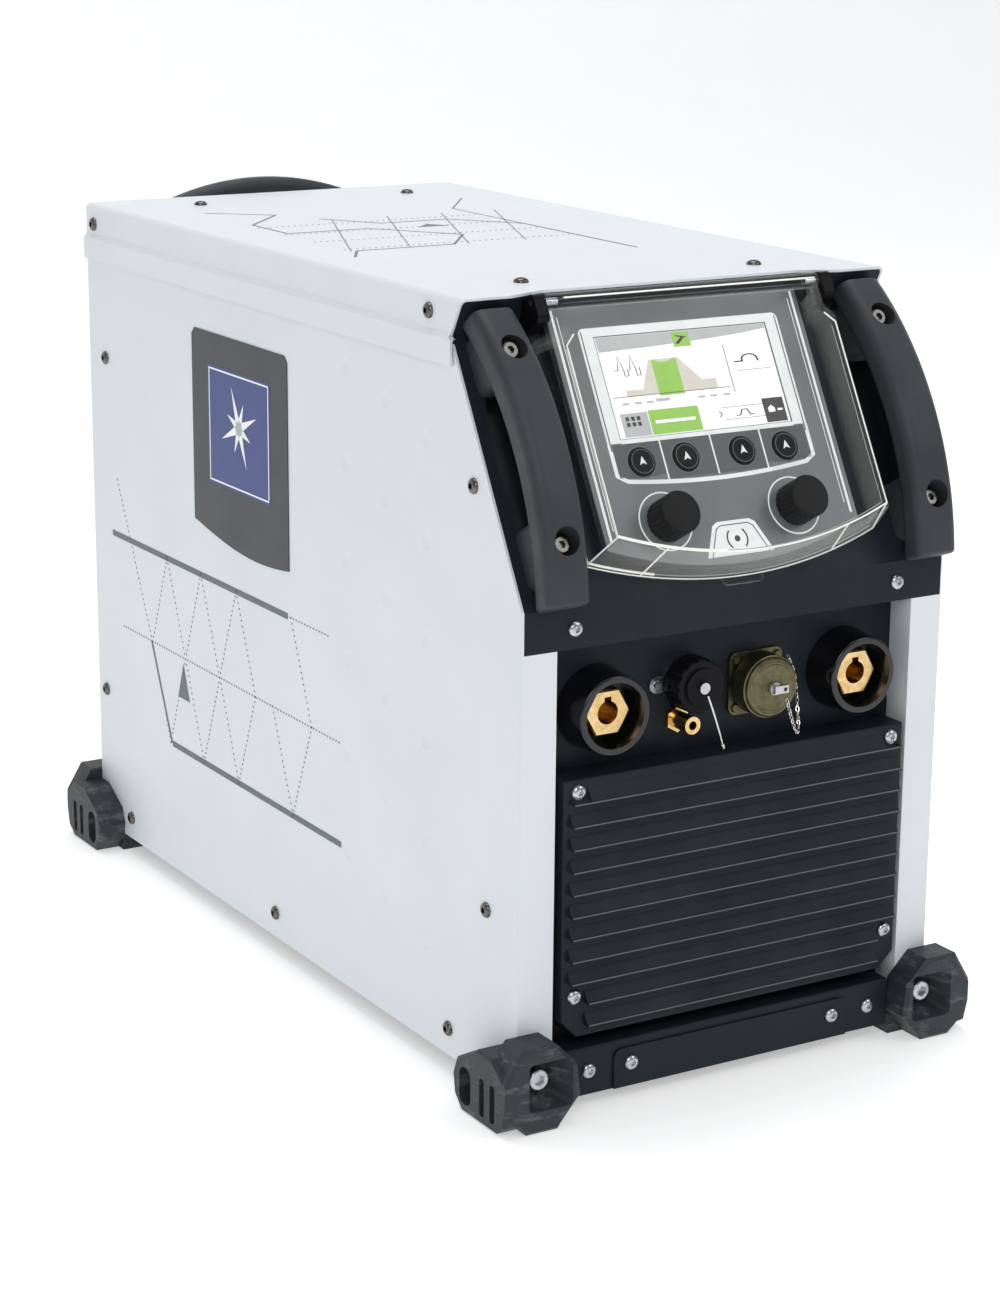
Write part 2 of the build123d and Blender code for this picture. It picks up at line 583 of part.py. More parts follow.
def protective_cover():
    """Clear moulded cover: a drafted shell, a hinge barrel along the top and a finger lip."""
    foot = 0.6
    outer = Pos(0, 0, foot) * extrude(make_face(cover_outline(0)), COVER_FRONT - foot, taper=COVER_DRAFT)
    inner = Pos(0, 0, foot - 0.01) * extrude(make_face(cover_outline(COVER_WALL)),
                                              COVER_FRONT - COVER_WALL - foot, taper=COVER_DRAFT)
    shell = outer - inner
    shell -= block((-COVER_HALF - 5, COVER_HALF + 5), (HINGE_S - 8, HINGE_S + 20), (-1, HINGE_O - 2.5))
    shell -= block((-COVER_HALF - 5, COVER_HALF + 5), (HINGE_S - 1, HINGE_S + 20), (-1, COVER_FRONT + 1))
    barrel_start = (-COVER_NECK_HALF + 0.5, HINGE_S, HINGE_O)
    barrel = rod(barrel_start, (1, 0, 0), BARREL_RADIUS, 2 * COVER_NECK_HALF - 1)
    web = block((-COVER_NECK_HALF + 8, COVER_NECK_HALF - 8), (HINGE_S - 3, HINGE_S - 0.6),
                (HINGE_O, COVER_FRONT - 1))
    shell += barrel + web
    depth = 10
    for side in (-1, 1):
        start = (side * (COVER_NECK_HALF + 1), HINGE_S, HINGE_O)
        shell -= rod(start, (-side, 0, 0), PIN_RADIUS + RUNNING, depth)
    lip_low = COVER_LOW[1]
    lip = block((-13, 13), (lip_low - 4, lip_low + 1.5), (foot, foot + 3))
    shell += fillet(lip.edges().filter_by(Axis.Z).group_by(Axis.Y)[0], 3)
    return CONSOLE * shell


def hinge_brackets():
    """Two lugs that stand on the console beside the cover's neck and hold the pins."""
    low, high = COVER_NECK_HALF + 0.8, COVER_NECK_HALF + 8
    lug = block((low, high), (HINGE_S - 12, HINGE_S + 4.5), (-1, HINGE_O + 4.5))
    lug = fillet(lug.edges().filter_by(Axis.X).group_by(Axis.Z)[-1], 4)
    lug -= rod((low - 1, HINGE_S, HINGE_O), (1, 0, 0), PIN_RADIUS, high - low + 2)
    placed = CONSOLE * lug
    placed -= console_fill()
    return group([placed, mirrored(placed)])


def console_fill():
    """Everything behind the console's outer skin, to trim what stands on it."""
    top = BODY_HEIGHT - SHEET
    back = CONSOLE_DEPTH + 60
    skin = prism_x([(0, KNEE_HEIGHT), (CONSOLE_DEPTH, CONSOLE_TOP), (VISOR_MIDDLE_Y + 1, top), (back, top),
                    (back, KNEE_HEIGHT)], 0, HALF)
    return skin + visor_ears()


def hinge_pins():
    pins = []
    for side in (-1, 1):
        start = (side * (COVER_NECK_HALF + 8), HINGE_S, HINGE_O)
        pins.append(CONSOLE * rod(start, (-side, 0, 0), PIN_RADIUS, 16))
    return group(pins)


# ---- handles

def bar(low, high, peak, width, edge):
    """A bowed bar in its own axes: x across, y along, z outward, with two posts under it."""
    half = (high - low) / 2
    middle = (low + high) / 2
    rise = HANDLE_ARC - sqrt(HANDLE_ARC ** 2 - half ** 2)
    inner_arc = HANDLE_ARC - HANDLE_THICKNESS
    end_rise = inner_arc - sqrt(inner_arc ** 2 - (half - 3) ** 2)
    under = peak - HANDLE_THICKNESS
    outer = ThreePointArc((0, low, peak - rise), (0, middle, peak), (0, high, peak - rise))
    low_rise = under - end_rise
    inner = ThreePointArc((0, high - 3, low_rise), (0, middle, under), (0, low + 3, low_rise))
    ends = (Line((0, high, peak - rise), (0, high - 3, under - end_rise))
            + Line((0, low + 3, under - end_rise), (0, low, peak - rise)))
    solid = Pos(-width / 2, 0, 0) * extrude(make_face(outer + inner + ends), width, dir=(1, 0, 0))
    long_edges = solid.edges().filter_by(lambda e: e.length > half)
    solid = fillet(long_edges, edge)
    tips = [e for e in solid.edges() if abs(e.center().Y - middle) > half - 6 and e.length > 3]
    return fillet(tips, 2.5)


def handle(side):
    """A moulded handle with its two posts and bolt recesses."""
    solid = bar(HANDLE_LOW, HANDLE_HIGH, HANDLE_PEAK, HANDLE_WIDTH, HANDLE_EDGE)
    for _, s in handle_bolt_spots()[:2]:
        solid += post(s, HANDLE_PEAK - HANDLE_THICKNESS)
    for _, s in handle_bolt_spots()[:2]:
        solid -= Pos(0, s, HANDLE_PEAK) * Cylinder(7.5, 36)
        solid -= Pos(0, s, 0) * Cylinder(HANDLE_BOLT_RADIUS + HOLE_SLACK, 60)
    solid = CONSOLE * (Pos(side * HANDLE_X, 0, 0) * solid)
    return solid - Pos(0, -GAP, 0) * visor_ears()


def post(s, top):
    foot = Pos(0, s, 0) * extrude(RectangleRounded(HANDLE_WIDTH - 6, 34, 5), top - 1)
    return foot


def handle_bolt_spots():
    ends = (HANDLE_LOW + BOLT_INSET + 6, HANDLE_HIGH - BOLT_INSET)
    return [(side * HANDLE_X, s) for side in (-1, 1) for s in ends]


def handle_bolt(length):
    head = Cylinder(5.5, 5, align=(Align.CENTER, Align.CENTER, Align.MIN))
    head = fillet(head.edges().group_by(Axis.Z)[-1], 1.6)
    head -= Pos(0, 0, 3) * extrude(RegularPolygon(2.3, 6), 3)
    return head + rod((0, 0, 0), (0, 0, -1), HANDLE_BOLT_RADIUS, length)


def handle_bolts():
    seat = HANDLE_PEAK - 18
    bolts = [CONSOLE * (Pos(x, s, seat) * handle_bolt(seat + 4)) for x, s in handle_bolt_spots()]
    bolts += [Plane(origin=point, z_dir=out) * (Pos(0, 0, 10) * handle_bolt(14))
              for point, out in rear_handle_places()]
    return group(bolts)


def rear_handle_places():
    reach = REAR_HANDLE_HALF - REAR_HANDLE_BOLT
    return [((x, REAR_FACE, REAR_HANDLE_Z - 14), (0, 1, 0)) for x in (-reach, reach)]


def rear_handle():
    """A bowed bar across the rear, on two arms bolted to the rear panel."""
    low, high = REAR_FACE + 17.5, BODY_LENGTH + REAR_REACH
    centre = (0, (low + high) / 2, REAR_HANDLE_Z - HANDLE_PEAK + 20)
    flat = Plane(origin=centre, x_dir=(0, -1, 0), z_dir=(0, 0, 1))
    solid = flat * bar(-REAR_HANDLE_HALF, REAR_HANDLE_HALF, HANDLE_PEAK, high - low, 6)
    for (x, _, z), _ in rear_handle_places():
        arm = block((x - 10, x + 10), (REAR_FACE, high - 3), (z - 9, z + 10))
        arm = fillet(arm.edges().filter_by(Axis.X).group_by(Axis.Y)[-1], 4)
        solid += arm
    for (x, _, z), _ in rear_handle_places():
        solid -= rod((x, REAR_FACE + 10, z), (0, 1, 0), 6.5, 40)
        solid -= rod((x, REAR_FACE - 1, z), (0, 1, 0), HANDLE_BOLT_RADIUS + HOLE_SLACK, 40)
    return solid


# ---- feet

def foot(front):
    """A corner foot: an octagonal block in front and one at the side, with a bolt pocket and slots."""
    out = HALF + FOOT_SIDE
    face = FRONT_REACH
    low, inner = -GROUND_GAP, HALF - 29
    front_block = prism_y([(out, 6), (out, 20), (HALF + 8, 38), (HALF - 13, 38), (inner + 2, 24),
                           (inner, 5), (HALF - 17, -9), (HALF - 15, low), (HALF + 5, low),
                           (out - 8, low + 5)], -face, 0)
    side_block = prism_x([(-face, 6), (-face, 19), (-4, 30), (12, 30), (34, 18), (38, 8), (36, -4),
                          (28, low), (-face + 12, low), (-face + 3, low + 6)], HALF, out)
    front_block = chamfer(front_block.faces().sort_by(Axis.Y)[0].edges(), 2)
    side_block = chamfer(side_block.faces().sort_by(Axis.X)[-1].edges(), 1.5)
    solid = front_block + side_block
    solid += block((HALF - 26, HALF + 1), (-1, 36), (low, 0))
    solid += block((HALF - 19, HALF - 5), (23, 36), (-1, FLOOR_TOP - PLATE))
    centre_x, centre_z = HALF - 9.5, 15.0
    mouth = Plane(origin=(centre_x, -face - 0.1, centre_z), z_dir=(0, 1, 0))
    seat = Plane(origin=(centre_x + 1, -4.5, centre_z - 1), z_dir=(0, 1, 0))
    pocket = loft([mouth * RectangleRounded(28, 28, 3), seat * RectangleRounded(14, 14, 3)])
    solid -= pocket
    solid -= rod((centre_x + 1, -8, centre_z - 1), (0, 1, 0), 4.1, 12)
    solid -= slot_cut(24, 12, out)
    for y in (6, -5):
        solid -= slot_cut(y, 5, out)
    if not front:
        solid = mirror(solid, about=Plane((0, BODY_LENGTH / 2, 0), z_dir=(0, 1, 0)))
    return solid


def slot_cut(y, width, out):
    """A rounded slot in the foot's side, deeper than it is wide."""
    tall = 22.0
    place = Plane(origin=(out + 1, y, 4.0), x_dir=(0, 1, 0), z_dir=(-1, 0, 0))
    return place * extrude(RectangleRounded(width, tall, width * 0.45), 14)


def foot_bolt():
    head = Cylinder(6.5, 5, align=(Align.CENTER, Align.CENTER, Align.MIN))
    head = fillet(head.edges().group_by(Axis.Z)[-1], 1.5)
    head -= Pos(0, 0, 2.5) * extrude(RegularPolygon(3.4, 6), 4)
    return head + rod((0, 0, 0), (0, 0, -1), 4.0, 8)


def foot_bolts():
    x, z = HALF - 8.5, 14.0
    fronts = [Plane(origin=(side * x, -4.5, z), z_dir=(0, -1, 0)) * foot_bolt() for side in (-1, 1)]
    rears = [Plane(origin=(side * x, BODY_LENGTH + 4.5, z), z_dir=(0, 1, 0)) * foot_bolt()
             for side in (-1, 1)]
    return group(fronts + rears)


def foot_bolt_holes(shape):
    x, z = HALF - 8.5, 14.0
    for side in (-1, 1):
        shape -= rod((side * x, -1, z), (0, 1, 0), 4.1, 6)
        shape -= rod((side * x, REAR_PLATE - 1, z), (0, 1, 0), 4.1, PLATE + SHEET + 2)
    return shape


# ---- sockets and connectors

def socket_shroud(side):
    """Black tapered shroud on the panel, around the socket's contact."""
    x, rim = side * SOCKET_X, RECESS - SHROUD_LENGTH
    place = Plane(origin=(x, RECESS, SOCKET_Z), z_dir=(0, -1, 0))
    body = place * Cone(SHROUD_BASE, SHROUD_RIM, SHROUD_LENGTH,
                        align=(Align.CENTER, Align.CENTER, Align.MIN))
    body = fillet(body.edges().sort_by(Axis.Y)[0], 1.2)
    cup = place * (Pos(0, 0, 6) * Cone(SHROUD_BORE - 2, SHROUD_BORE, SHROUD_LENGTH - 5,
                                        align=(Align.CENTER, Align.CENTER, Align.MIN)))
    body -= cup
    body -= rod((x, rim, SOCKET_Z), (0, 1, 0), 10.05, 40)
    return body


def socket_contact(side):
    """Brass contact: hexagon, bored and keyed for a 13 mm plug, with a threaded tail."""
    x = side * SOCKET_X
    front = RECESS - 14.0
    place = Plane(origin=(x, RECESS - 6, SOCKET_Z), x_dir=(1, 0, 0), z_dir=(0, -1, 0))
    hexagon = place * extrude(RegularPolygon(HEX_FLATS / 2, 6, major_radius=False), 8)
    hexagon = chamfer(hexagon.faces().sort_by(Axis.Y)[0].edges(), 0.8)
    body = hexagon + rod((x, RECESS - 6, SOCKET_Z), (0, 1, 0), 10, 32)
    body += rod((x, RECESS + 26, SOCKET_Z), (0, 1, 0), 5, 16)
    body -= rod((x, front - 1, SOCKET_Z), (0, 1, 0), PLUG_BORE_RADIUS, PLUG_BORE_LENGTH + 1)
    key_top = SOCKET_Z + PLUG_BORE_RADIUS + 2.2
    body -= block((x - 2.2, x + 2.2), (front - 1, front + 18), (SOCKET_Z, key_top))
    return body


def torch_connector():
    """Control socket of the torch: two-eared flange and threaded barrel."""
    x, z = TORCH
    back = RECESS - 2.5
    flange = rod((x, back, z), (0, 1, 0), 14.5, 2.5)
    for side in (-1, 1):
        ear = rod((x + side * 19, back, z), (0, 1, 0), 4.8, 2.5)
        reach = sorted((x, x + side * 19))
        flange += ear + block(reach, (back, RECESS), (z - 4.8, z + 4.8))
    body = flange + rod((x, TORCH_FACE + 3, z), (0, 1, 0), 9, back - TORCH_FACE - 3)
    body += rod((x, RECESS, z), (0, 1, 0), 8.3, 16)
    body -= rod((x, TORCH_FACE + 2.5, z), (0, 1, 0), 7.2, 8)
    for pin in range(5):
        angle = pin * 2 * pi / 5
        body += rod((x + 4 * cos(angle), TORCH_FACE + 5, z + 4 * sin(angle)), (0, 1, 0), 0.8, 8)
    for side in (-1, 1):
        body += Pos(x + side * 19, back, z) * (Sphere(2.6) & block((-3, 3), (-1.6, 0), (-3, 3)))
    return body


def torch_cap():
    """Scalloped plastic dust cap, hollow, with a hole for its swivel stud."""
    x, z = TORCH
    radius, length = 15.5, 13.5
    body = rod((x, TORCH_FACE + 1.5, z), (0, 1, 0), radius, length)
    body = fillet(body.edges().sort_by(Axis.Y)[0], 1.5)
    scallops = 14
    for turn in range(scallops):
        angle = turn * 2 * pi / scallops
        reach = radius + 1.3
        spot = (x + reach * cos(angle), TORCH_FACE - 1, z + reach * sin(angle))
        body -= rod(spot, (0, 1, 0), 2.4, length - 1)
    body += rod((x, TORCH_FACE, z), (0, 1, 0), 10.5, 2)
    body -= rod((x, TORCH_FACE + 2.6, z), (0, 1, 0), 9 + GAP + 0.2, length)
    body -= rod((x, TORCH_FACE - 1, z), (0, 1, 0), 1.5 + RUNNING, 10)
    return body


def cap_stud(place, face, pin, head, ear):
    """Swivel stud: a pin through the cap, a head inside it and a cheek outside it."""
    x, z = place
    stud = rod((x, face - 2.2, z), (0, 1, 0), pin, 2.2 + 2.7)
    stud += rod((x, face - 2.2, z), (0, 1, 0), head, 2.0)
    stud += rod((x, face + 2.7, z), (0, 1, 0), head, 0.6)
    if ear:
        stud += block((x - 2.6, x + 6.5), (face - 5.5, face - 2.2), (z - 2.2, z + 2.2))
        stud -= rod((x + 4.3, face - 7, z), (0, 1, 0), 1.2, 4.8)
    return stud


def torch_cap_stud():
    return cap_stud(TORCH, TORCH_FACE, 1.5, 3.2, False)


def remote_connector():
    """Remote-control socket: square flange with four screws, and a threaded barrel."""
    x, z = REMOTE
    back = RECESS - 2.5
    flange = Plane(origin=(x, back, z), z_dir=(0, 1, 0)) * extrude(RectangleRounded(36, 36, 5), 2.5)
    body = flange + rod((x, REMOTE_FACE + 3, z), (0, 1, 0), 14, back - REMOTE_FACE - 3)
    body += rod((x, RECESS, z), (0, 1, 0), 12.3, 14)
    body -= rod((x, REMOTE_FACE + 2.5, z), (0, 1, 0), 12, 8)
    for pin in range(6):
        angle = pin * 2 * pi / 6
        body += rod((x + 7 * cos(angle), REMOTE_FACE + 5, z + 7 * sin(angle)), (0, 1, 0), 1.0, 8)
    for dx in (-13.8, 13.8):
        for dz in (-13.8, 13.8):
            body += Pos(x + dx, back, z + dz) * (Sphere(2.6) & block((-3, 3), (-1.6, 0), (-3, 3)))
    return body


def remote_cap():
    """Metal dust cap, hollow, with a hole for its swivel stud."""
    x, z = REMOTE
    body = rod((x, REMOTE_FACE, z), (0, 1, 0), 18, 15)
    body = fillet(body.edges().sort_by(Axis.Y)[0], 1.2)
    body -= rod((x, REMOTE_FACE + 2.6, z), (0, 1, 0), 14 + GAP + 0.2, 15)
    body -= rod((x, REMOTE_FACE - 1, z), (0, 1, 0), 1.8 + RUNNING, 10)
    return body


def remote_cap_stud():
    return cap_stud(REMOTE, REMOTE_FACE, 1.8, 3.6, True)


def gas_outlet():
    """Brass outlet: hexagon on the panel and a bored spigot."""
    x, z = GAS
    place = Plane(origin=(x, RECESS, z), z_dir=(0, -1, 0))
    base = place * extrude(RegularPolygon(6.5, 6, major_radius=False), 3.5)
    body = base + rod((x, 0, z), (0, 1, 0), 5, RECESS + 14)
    body += rod((x, RECESS + 14, z), (0, 1, 0), 3, 8)
    body -= rod((x, -1, z), (0, 1, 0), 2.5, RECESS + 26)
    return body


# ---- free cords: the remote cap's chain and the torch cap's lanyard


def cord(name, route, diameter):
    """Straight runs joined by tangent arcs, each as large as its two runs allow."""
    points = [Vector(*point) for point in route]
    radii = []
    for before, at, after in zip(points, points[1:], points[2:]):
        first, second = at - before, after - at
        turn = first.get_angle(second) * pi / 180
        radii.append(0.45 * min(first.length, second.length) / (sin(turn / 2) / cos(turn / 2)))
    print(name, "arc radii", [round(radius, 1) for radius in radii])
    path = FilletPolyline(*points, radius=radii)
    profile = Plane(origin=points[0], z_dir=points[1] - points[0]) * Circle(diameter / 2)
    tube = sweep(profile, path=path)
    ideal = pi * diameter ** 2 / 4 * path.length
    print(name, "length", round(path.length, 1), "volume ratio", round(tube.volume / ideal, 3))
    return tube


# ---- rear pieces

def fan_frame():
    """Square axial fan frame with four struts to the motor's seat."""
    y = (REAR_PLATE - FAN_DEPTH, REAR_PLATE)
    frame = block((-FAN_HALF, FAN_HALF), y, (FAN_Z - FAN_HALF, FAN_Z + FAN_HALF))
    frame = fillet(frame.edges().filter_by(Axis.Y), 6)
    frame -= rod((0, y[0] - 1, FAN_Z), (0, 1, 0), FAN_HALF - 3, FAN_DEPTH + 2)
    for turn in range(4):
        angle = 45 + 90 * turn
        strut = block((18, FAN_HALF - 2), (y[0], y[0] + 4), (-2.5, 2.5))
        frame += Pos(0, 0, FAN_Z) * Rot(0, angle, 0) * strut
    frame += rod((0, y[0], FAN_Z), (0, 1, 0), 20, 6)
    frame += rod((0, y[0] + 6, FAN_Z), (0, 1, 0), 2.5, 20)
    return frame


def fan_rotor():
    """Hub and seven pitched blades on the motor's spindle."""
    front = REAR_PLATE - FAN_DEPTH + 8
    hub = rod((0, front, FAN_Z), (0, 1, 0), 21, 26)
    hub = fillet(hub.edges().sort_by(Axis.Y)[-1], 3)
    blades = 7
    for turn in range(blades):
        blade = Rot(38, 0, 0) * Box(36, 26, 1.6)
        place = Pos(0, front + 13, FAN_Z) * Rot(0, turn * 360 / blades, 0) * Pos(19 + 17, 0, 0)
        hub += place * blade
    hub -= rod((0, front - 1, FAN_Z), (0, 1, 0), 2.5 + RUNNING, 19.5)
    return hub


def fan_guard():
    """Rings and spokes of wire over the fan's opening, with a centre disc and four screw tabs."""
    wire = 1.3
    y = REAR_FACE + 2 + wire
    guard = rod((0, y - wire - 0.4, FAN_Z), (0, 1, 0), 9, 2 * wire + 0.8)
    for turn in range(4):
        angle = pi / 4 + turn * pi / 2
        guard += rod((5 * cos(angle), y, FAN_Z + 5 * sin(angle)), (cos(angle), 0, sin(angle)), wire, 56)
        end = (61 * cos(angle), REAR_FACE, FAN_Z + 61 * sin(angle))
        guard += rod(end, (0, 1, 0), 4.5, 2 + 2 * wire + 0.6)
    for radius in (20, 31, 42, 53):
        guard += Pos(0, y + wire * 0.8, FAN_Z) * Rot(90, 0, 0) * Torus(radius, wire)
    return guard


def switch_body():
    """Rotary isolator: contact block behind the rear panel, plate outside it."""
    x, z = SWITCH
    body = block((x - 24, x + 24), (REAR_PLATE - 44, REAR_PLATE), (z - 24, z + 24))
    body += rod((x, REAR_PLATE, z), (0, 1, 0), 10.8, PLATE)
    plate = block((x - 26, x + 26), (REAR_FACE, REAR_FACE + 3), (z - 26, z + 26))
    body += fillet(plate.edges().filter_by(Axis.Y), 5)
    body -= rod((x, REAR_FACE - 8, z), (0, 1, 0), 4 + RUNNING, 20)
    return body


def switch_knob():
    """Knob of the isolator, a disc with a grip bar, on its shaft."""
    x, z = SWITCH
    front = REAR_FACE + 3.4
    knob_body = rod((x, front, z), (0, 1, 0), 20, 6)
    grip = block((x - 4.5, x + 4.5), (front + 6, front + 22), (z - 19, z + 19))
    knob_body += fillet(grip.edges().filter_by(Axis.Y), 3)
    return knob_body + rod((x, REAR_FACE - 7.5, z), (0, 1, 0), 4, 12)


def cable_gland():
    """Plastic gland with locknut, hexagon and dome, bored for the mains cable."""
    x, z = GLAND
    body = rod((x, REAR_PLATE - 8, z), (0, 1, 0), 12.4, 20)
    hexagon = RegularPolygon(16, 6, major_radius=False)
    nut = Plane(origin=(x, REAR_PLATE - 5, z), z_dir=(0, 1, 0)) * extrude(hexagon, 5)
    flats = Plane(origin=(x, REAR_FACE, z), z_dir=(0, 1, 0)) * extrude(hexagon, 8)
    dome = rod((x, REAR_FACE + 8, z), (0, 1, 0), 15, 16)
    body += nut + flats + fillet(dome.edges().sort_by(Axis.Y)[-1], 5)
    return body - rod((x, REAR_PLATE - 9, z), (0, 1, 0), 7.5, 50)


def gas_inlet():
    """Solenoid valve behind the rear panel with its hose barb outside."""
    x, z = GAS_IN
    body = block((x - 14, x + 14), (REAR_PLATE - 34, REAR_PLATE), (z - 14, z + 14))
    body += rod((x, REAR_PLATE, z), (0, 1, 0), 6.2, PLATE + 6)
    body += rod((x, REAR_FACE + 6, z), (0, 1, 0), 4, 20)
    body += rod((x, REAR_PLATE - 50, z), (0, 1, 0), 3, 16)
    return body - rod((x, REAR_FACE - 4, z), (0, 1, 0), 2.2, 40)


def gas_hose():
    """Hose from the valve along the left side to the gas outlet."""
    start = (GAS_IN[0], REAR_PLATE - 42, GAS_IN[1])
    end = (GAS[0], RECESS + 16, GAS[1])
    route = [start, (GAS_IN[0], REAR_PLATE - 110, GAS_IN[1]), (-112, 300, 80), (-112, 150, 110),
             (-90, 75, 165),
             (GAS[0], 72, GAS[1]), end]
    points = [Vector(*point) for point in route]
    path = FilletPolyline(*points, radius=12)
    ring = Circle(HOSE_RADIUS) - Circle(3.05)
    return sweep(Plane(origin=points[0], z_dir=points[1] - points[0]) * ring, path=path)


# ---- inside

def heatsink():
    """Extruded heatsink with fins along the air flow."""
    width, length, height = 116.0, 210.0, 80.0
    low = FLOOR_TOP
    body = block((-width / 2, width / 2), (110, 110 + length), (low, low + height))
    fins = 12
    pitch = (width - 6) / fins
    for fin in range(fins):
        x = -width / 2 + 6 + fin * pitch
        body -= block((x, x + pitch - 2.5), (109, 111 + length), (low + 6, low + height - 10))
    return body


def power_board():
    """Power board on the heatsink, with its transistor modules and capacitors."""
    top = FLOOR_TOP + 80
    board = block((-70, 70), (105, 325), (top + 17, top + 19))
    for x in (-32, 32):
        for y in (150, 215, 280):
            board += block((x - 17, x + 17), (y - 26, y + 26), (top, top + 17))
    for x in (-42, 0, 42):
        for y in (180, 250):
            board += rod((x, y, top + 19), (0, 0, 1), 17.5, 60)
    return board


def transformer():
    """Ferrite core with its winding."""
    low = FLOOR_TOP
    core = block((-96, -12), (372, 448), (low, low + 88))
    core -= block((-80, -62), (371, 449), (low + 16, low + 72))
    core -= block((-46, -28), (371, 449), (low + 16, low + 72))
    winding = block((-80, -28), (360, 460), (low + 18, low + 70))
    winding -= block((-61, -47), (371, 449), (low + 17, low + 71))
    return core + winding


def output_choke():
    """Wound core of the output choke."""
    low = FLOOR_TOP
    core = block((14, 104), (380, 440), (low, low + 80)) - block((34, 84), (379, 441), (low + 18, low + 62))
    winding = block((26, 92), (372, 448), (low + 24, low + 56))
    return core + winding


def build():
    os.makedirs("parts", exist_ok=True)
    right_panel = foot_bolt_holes(side_panel())
    write("side_panel_right", right_panel)
    write("side_panel_left", mirrored(right_panel))
    write("top_cover", top_cover())
    write("base_tray", base_tray())
    write("front_base_plate", front_base_plate())
    write("access_plate", access_plate())
    write("rear_panel", foot_bolt_holes(rear_panel()))
    write("connector_panel", connector_panel())
    write("front_grille", front_grille())
    write("console_bezel", console_bezel())
    write("face_plate", face_plate())
    write("display_module", display_module())
    write("control_board", control_board())
    for number, x in enumerate(BUTTON_X, start=1):
        write(f"button_{number}", button(x))
    for name, x in (("left", -KNOB_X), ("right", KNOB_X)):
        write(f"knob_{name}", knob(x))
        write(f"encoder_shaft_{name}", encoder_shaft(x))
    write("protective_cover", protective_cover())
    write("cover_hinge_brackets", hinge_brackets())
    write("cover_hinge_pins", hinge_pins())
    for name, side in (("left", -1), ("right", 1)):
        write(f"handle_{name}", handle(side))
        write(f"socket_shroud_{name}", socket_shroud(side))
        write(f"socket_contact_{name}", socket_contact(side))
    write("rear_handle", rear_handle())
    write("handle_bolts", handle_bolts())
    for end in ("front", "rear"):
        right_foot = foot(end == "front")
        write(f"foot_{end}_right", right_foot)
        write(f"foot_{end}_left", mirrored(right_foot))
    write("foot_bolts", foot_bolts())
    write("torch_connector", torch_connector())
    write("torch_cap", torch_cap())
    write("torch_cap_stud", torch_cap_stud())
    write("torch_lanyard", cord("lanyard", LANYARD_ROUTE, LANYARD_DIAMETER))
    write("remote_connector", remote_connector())
    write("remote_cap", remote_cap())
    write("remote_cap_stud", remote_cap_stud())
    write("remote_chain", cord("chain", CHAIN_ROUTE, CHAIN_DIAMETER))
    write("gas_outlet", gas_outlet())
    write("fan_frame", fan_frame())
    write("fan_rotor", fan_rotor())
    write("fan_guard", fan_guard())
    write("main_switch_body", switch_body())
    write("main_switch_knob", switch_knob())
    write("cable_gland", cable_gland())
    write("gas_inlet", gas_inlet())
    write("gas_hose", gas_hose())
    write("heatsink", heatsink())
    write("power_board", power_board())
    write("transformer", transformer())
    write("output_choke", output_choke())
    write("panel_screws", screws(side_places() + top_places() + rear_places()))
    write("front_screws", screws(strip_places() + grille_places() + base_places() + access_places()))


build()
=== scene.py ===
from math import atan2, cos, pi, radians, sin, tan

import bmesh
import bpy
from mathutils import Matrix, Vector


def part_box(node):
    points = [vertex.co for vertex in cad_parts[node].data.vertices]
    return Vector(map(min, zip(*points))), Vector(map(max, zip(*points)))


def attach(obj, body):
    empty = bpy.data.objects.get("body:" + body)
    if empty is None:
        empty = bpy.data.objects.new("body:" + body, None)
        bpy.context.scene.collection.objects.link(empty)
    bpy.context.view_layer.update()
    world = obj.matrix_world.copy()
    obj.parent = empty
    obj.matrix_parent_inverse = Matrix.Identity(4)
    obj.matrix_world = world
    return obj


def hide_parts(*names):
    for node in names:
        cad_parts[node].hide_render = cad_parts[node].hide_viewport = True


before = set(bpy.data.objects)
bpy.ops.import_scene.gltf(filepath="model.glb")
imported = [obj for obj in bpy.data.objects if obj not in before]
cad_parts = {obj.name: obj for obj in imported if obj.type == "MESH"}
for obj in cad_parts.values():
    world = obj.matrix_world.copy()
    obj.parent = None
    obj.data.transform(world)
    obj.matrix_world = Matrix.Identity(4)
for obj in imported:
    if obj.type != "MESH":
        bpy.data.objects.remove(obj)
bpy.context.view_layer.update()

# ---- the machine's own measures, in millimetres, counted from the front flanges and the panels' edge
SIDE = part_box("side_panel_left")
FRONT = SIDE[0][1]
GROUND_GAP = SIDE[0][2]
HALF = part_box("side_panel_right")[1][0] * 1000
LENGTH = (SIDE[1][1] - SIDE[0][1]) * 1000
TOP = (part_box("top_cover")[1][2] - GROUND_GAP) * 1000
KNEE = 274.0
LEAN = atan2(76.0, 135.0)
PLATE_TOP = 7.0          # overlay plate above the console's slope
GLASS_TOP = 6.7
SCREEN_S = 115.5
SCREEN = (113.0, 58.5)
BUTTON_S = 72.4
BUTTON_X = (-47.5, -18.7, 18.7, 47.5)
BUTTON_TOP = 8.2
KNOB_X = 42.5
KNOB_S = 38.0
INK = 0.12               # thickness of a printed layer
REMOTE = (22.5, 212.0)
REMOTE_FACE = -1.5


# ---- places

def at(x, y, z):
    """A point of the machine, from millimetres to the shared frame's metres."""
    return Vector((x / 1000, FRONT + y / 1000, GROUND_GAP + z / 1000))


def on_console(x, s, o):
    """A point x across, s up the slope and o out of it."""
    return at(x, s * sin(LEAN) - o * cos(LEAN), KNEE + s * cos(LEAN) + o * sin(LEAN))


def on_left(y, z, o):
    return at(-HALF - o, y, z)


def on_right(y, z, o):
    return at(HALF + o, y, z)


def on_top(x, y, o):
    return at(x, y, TOP + o)


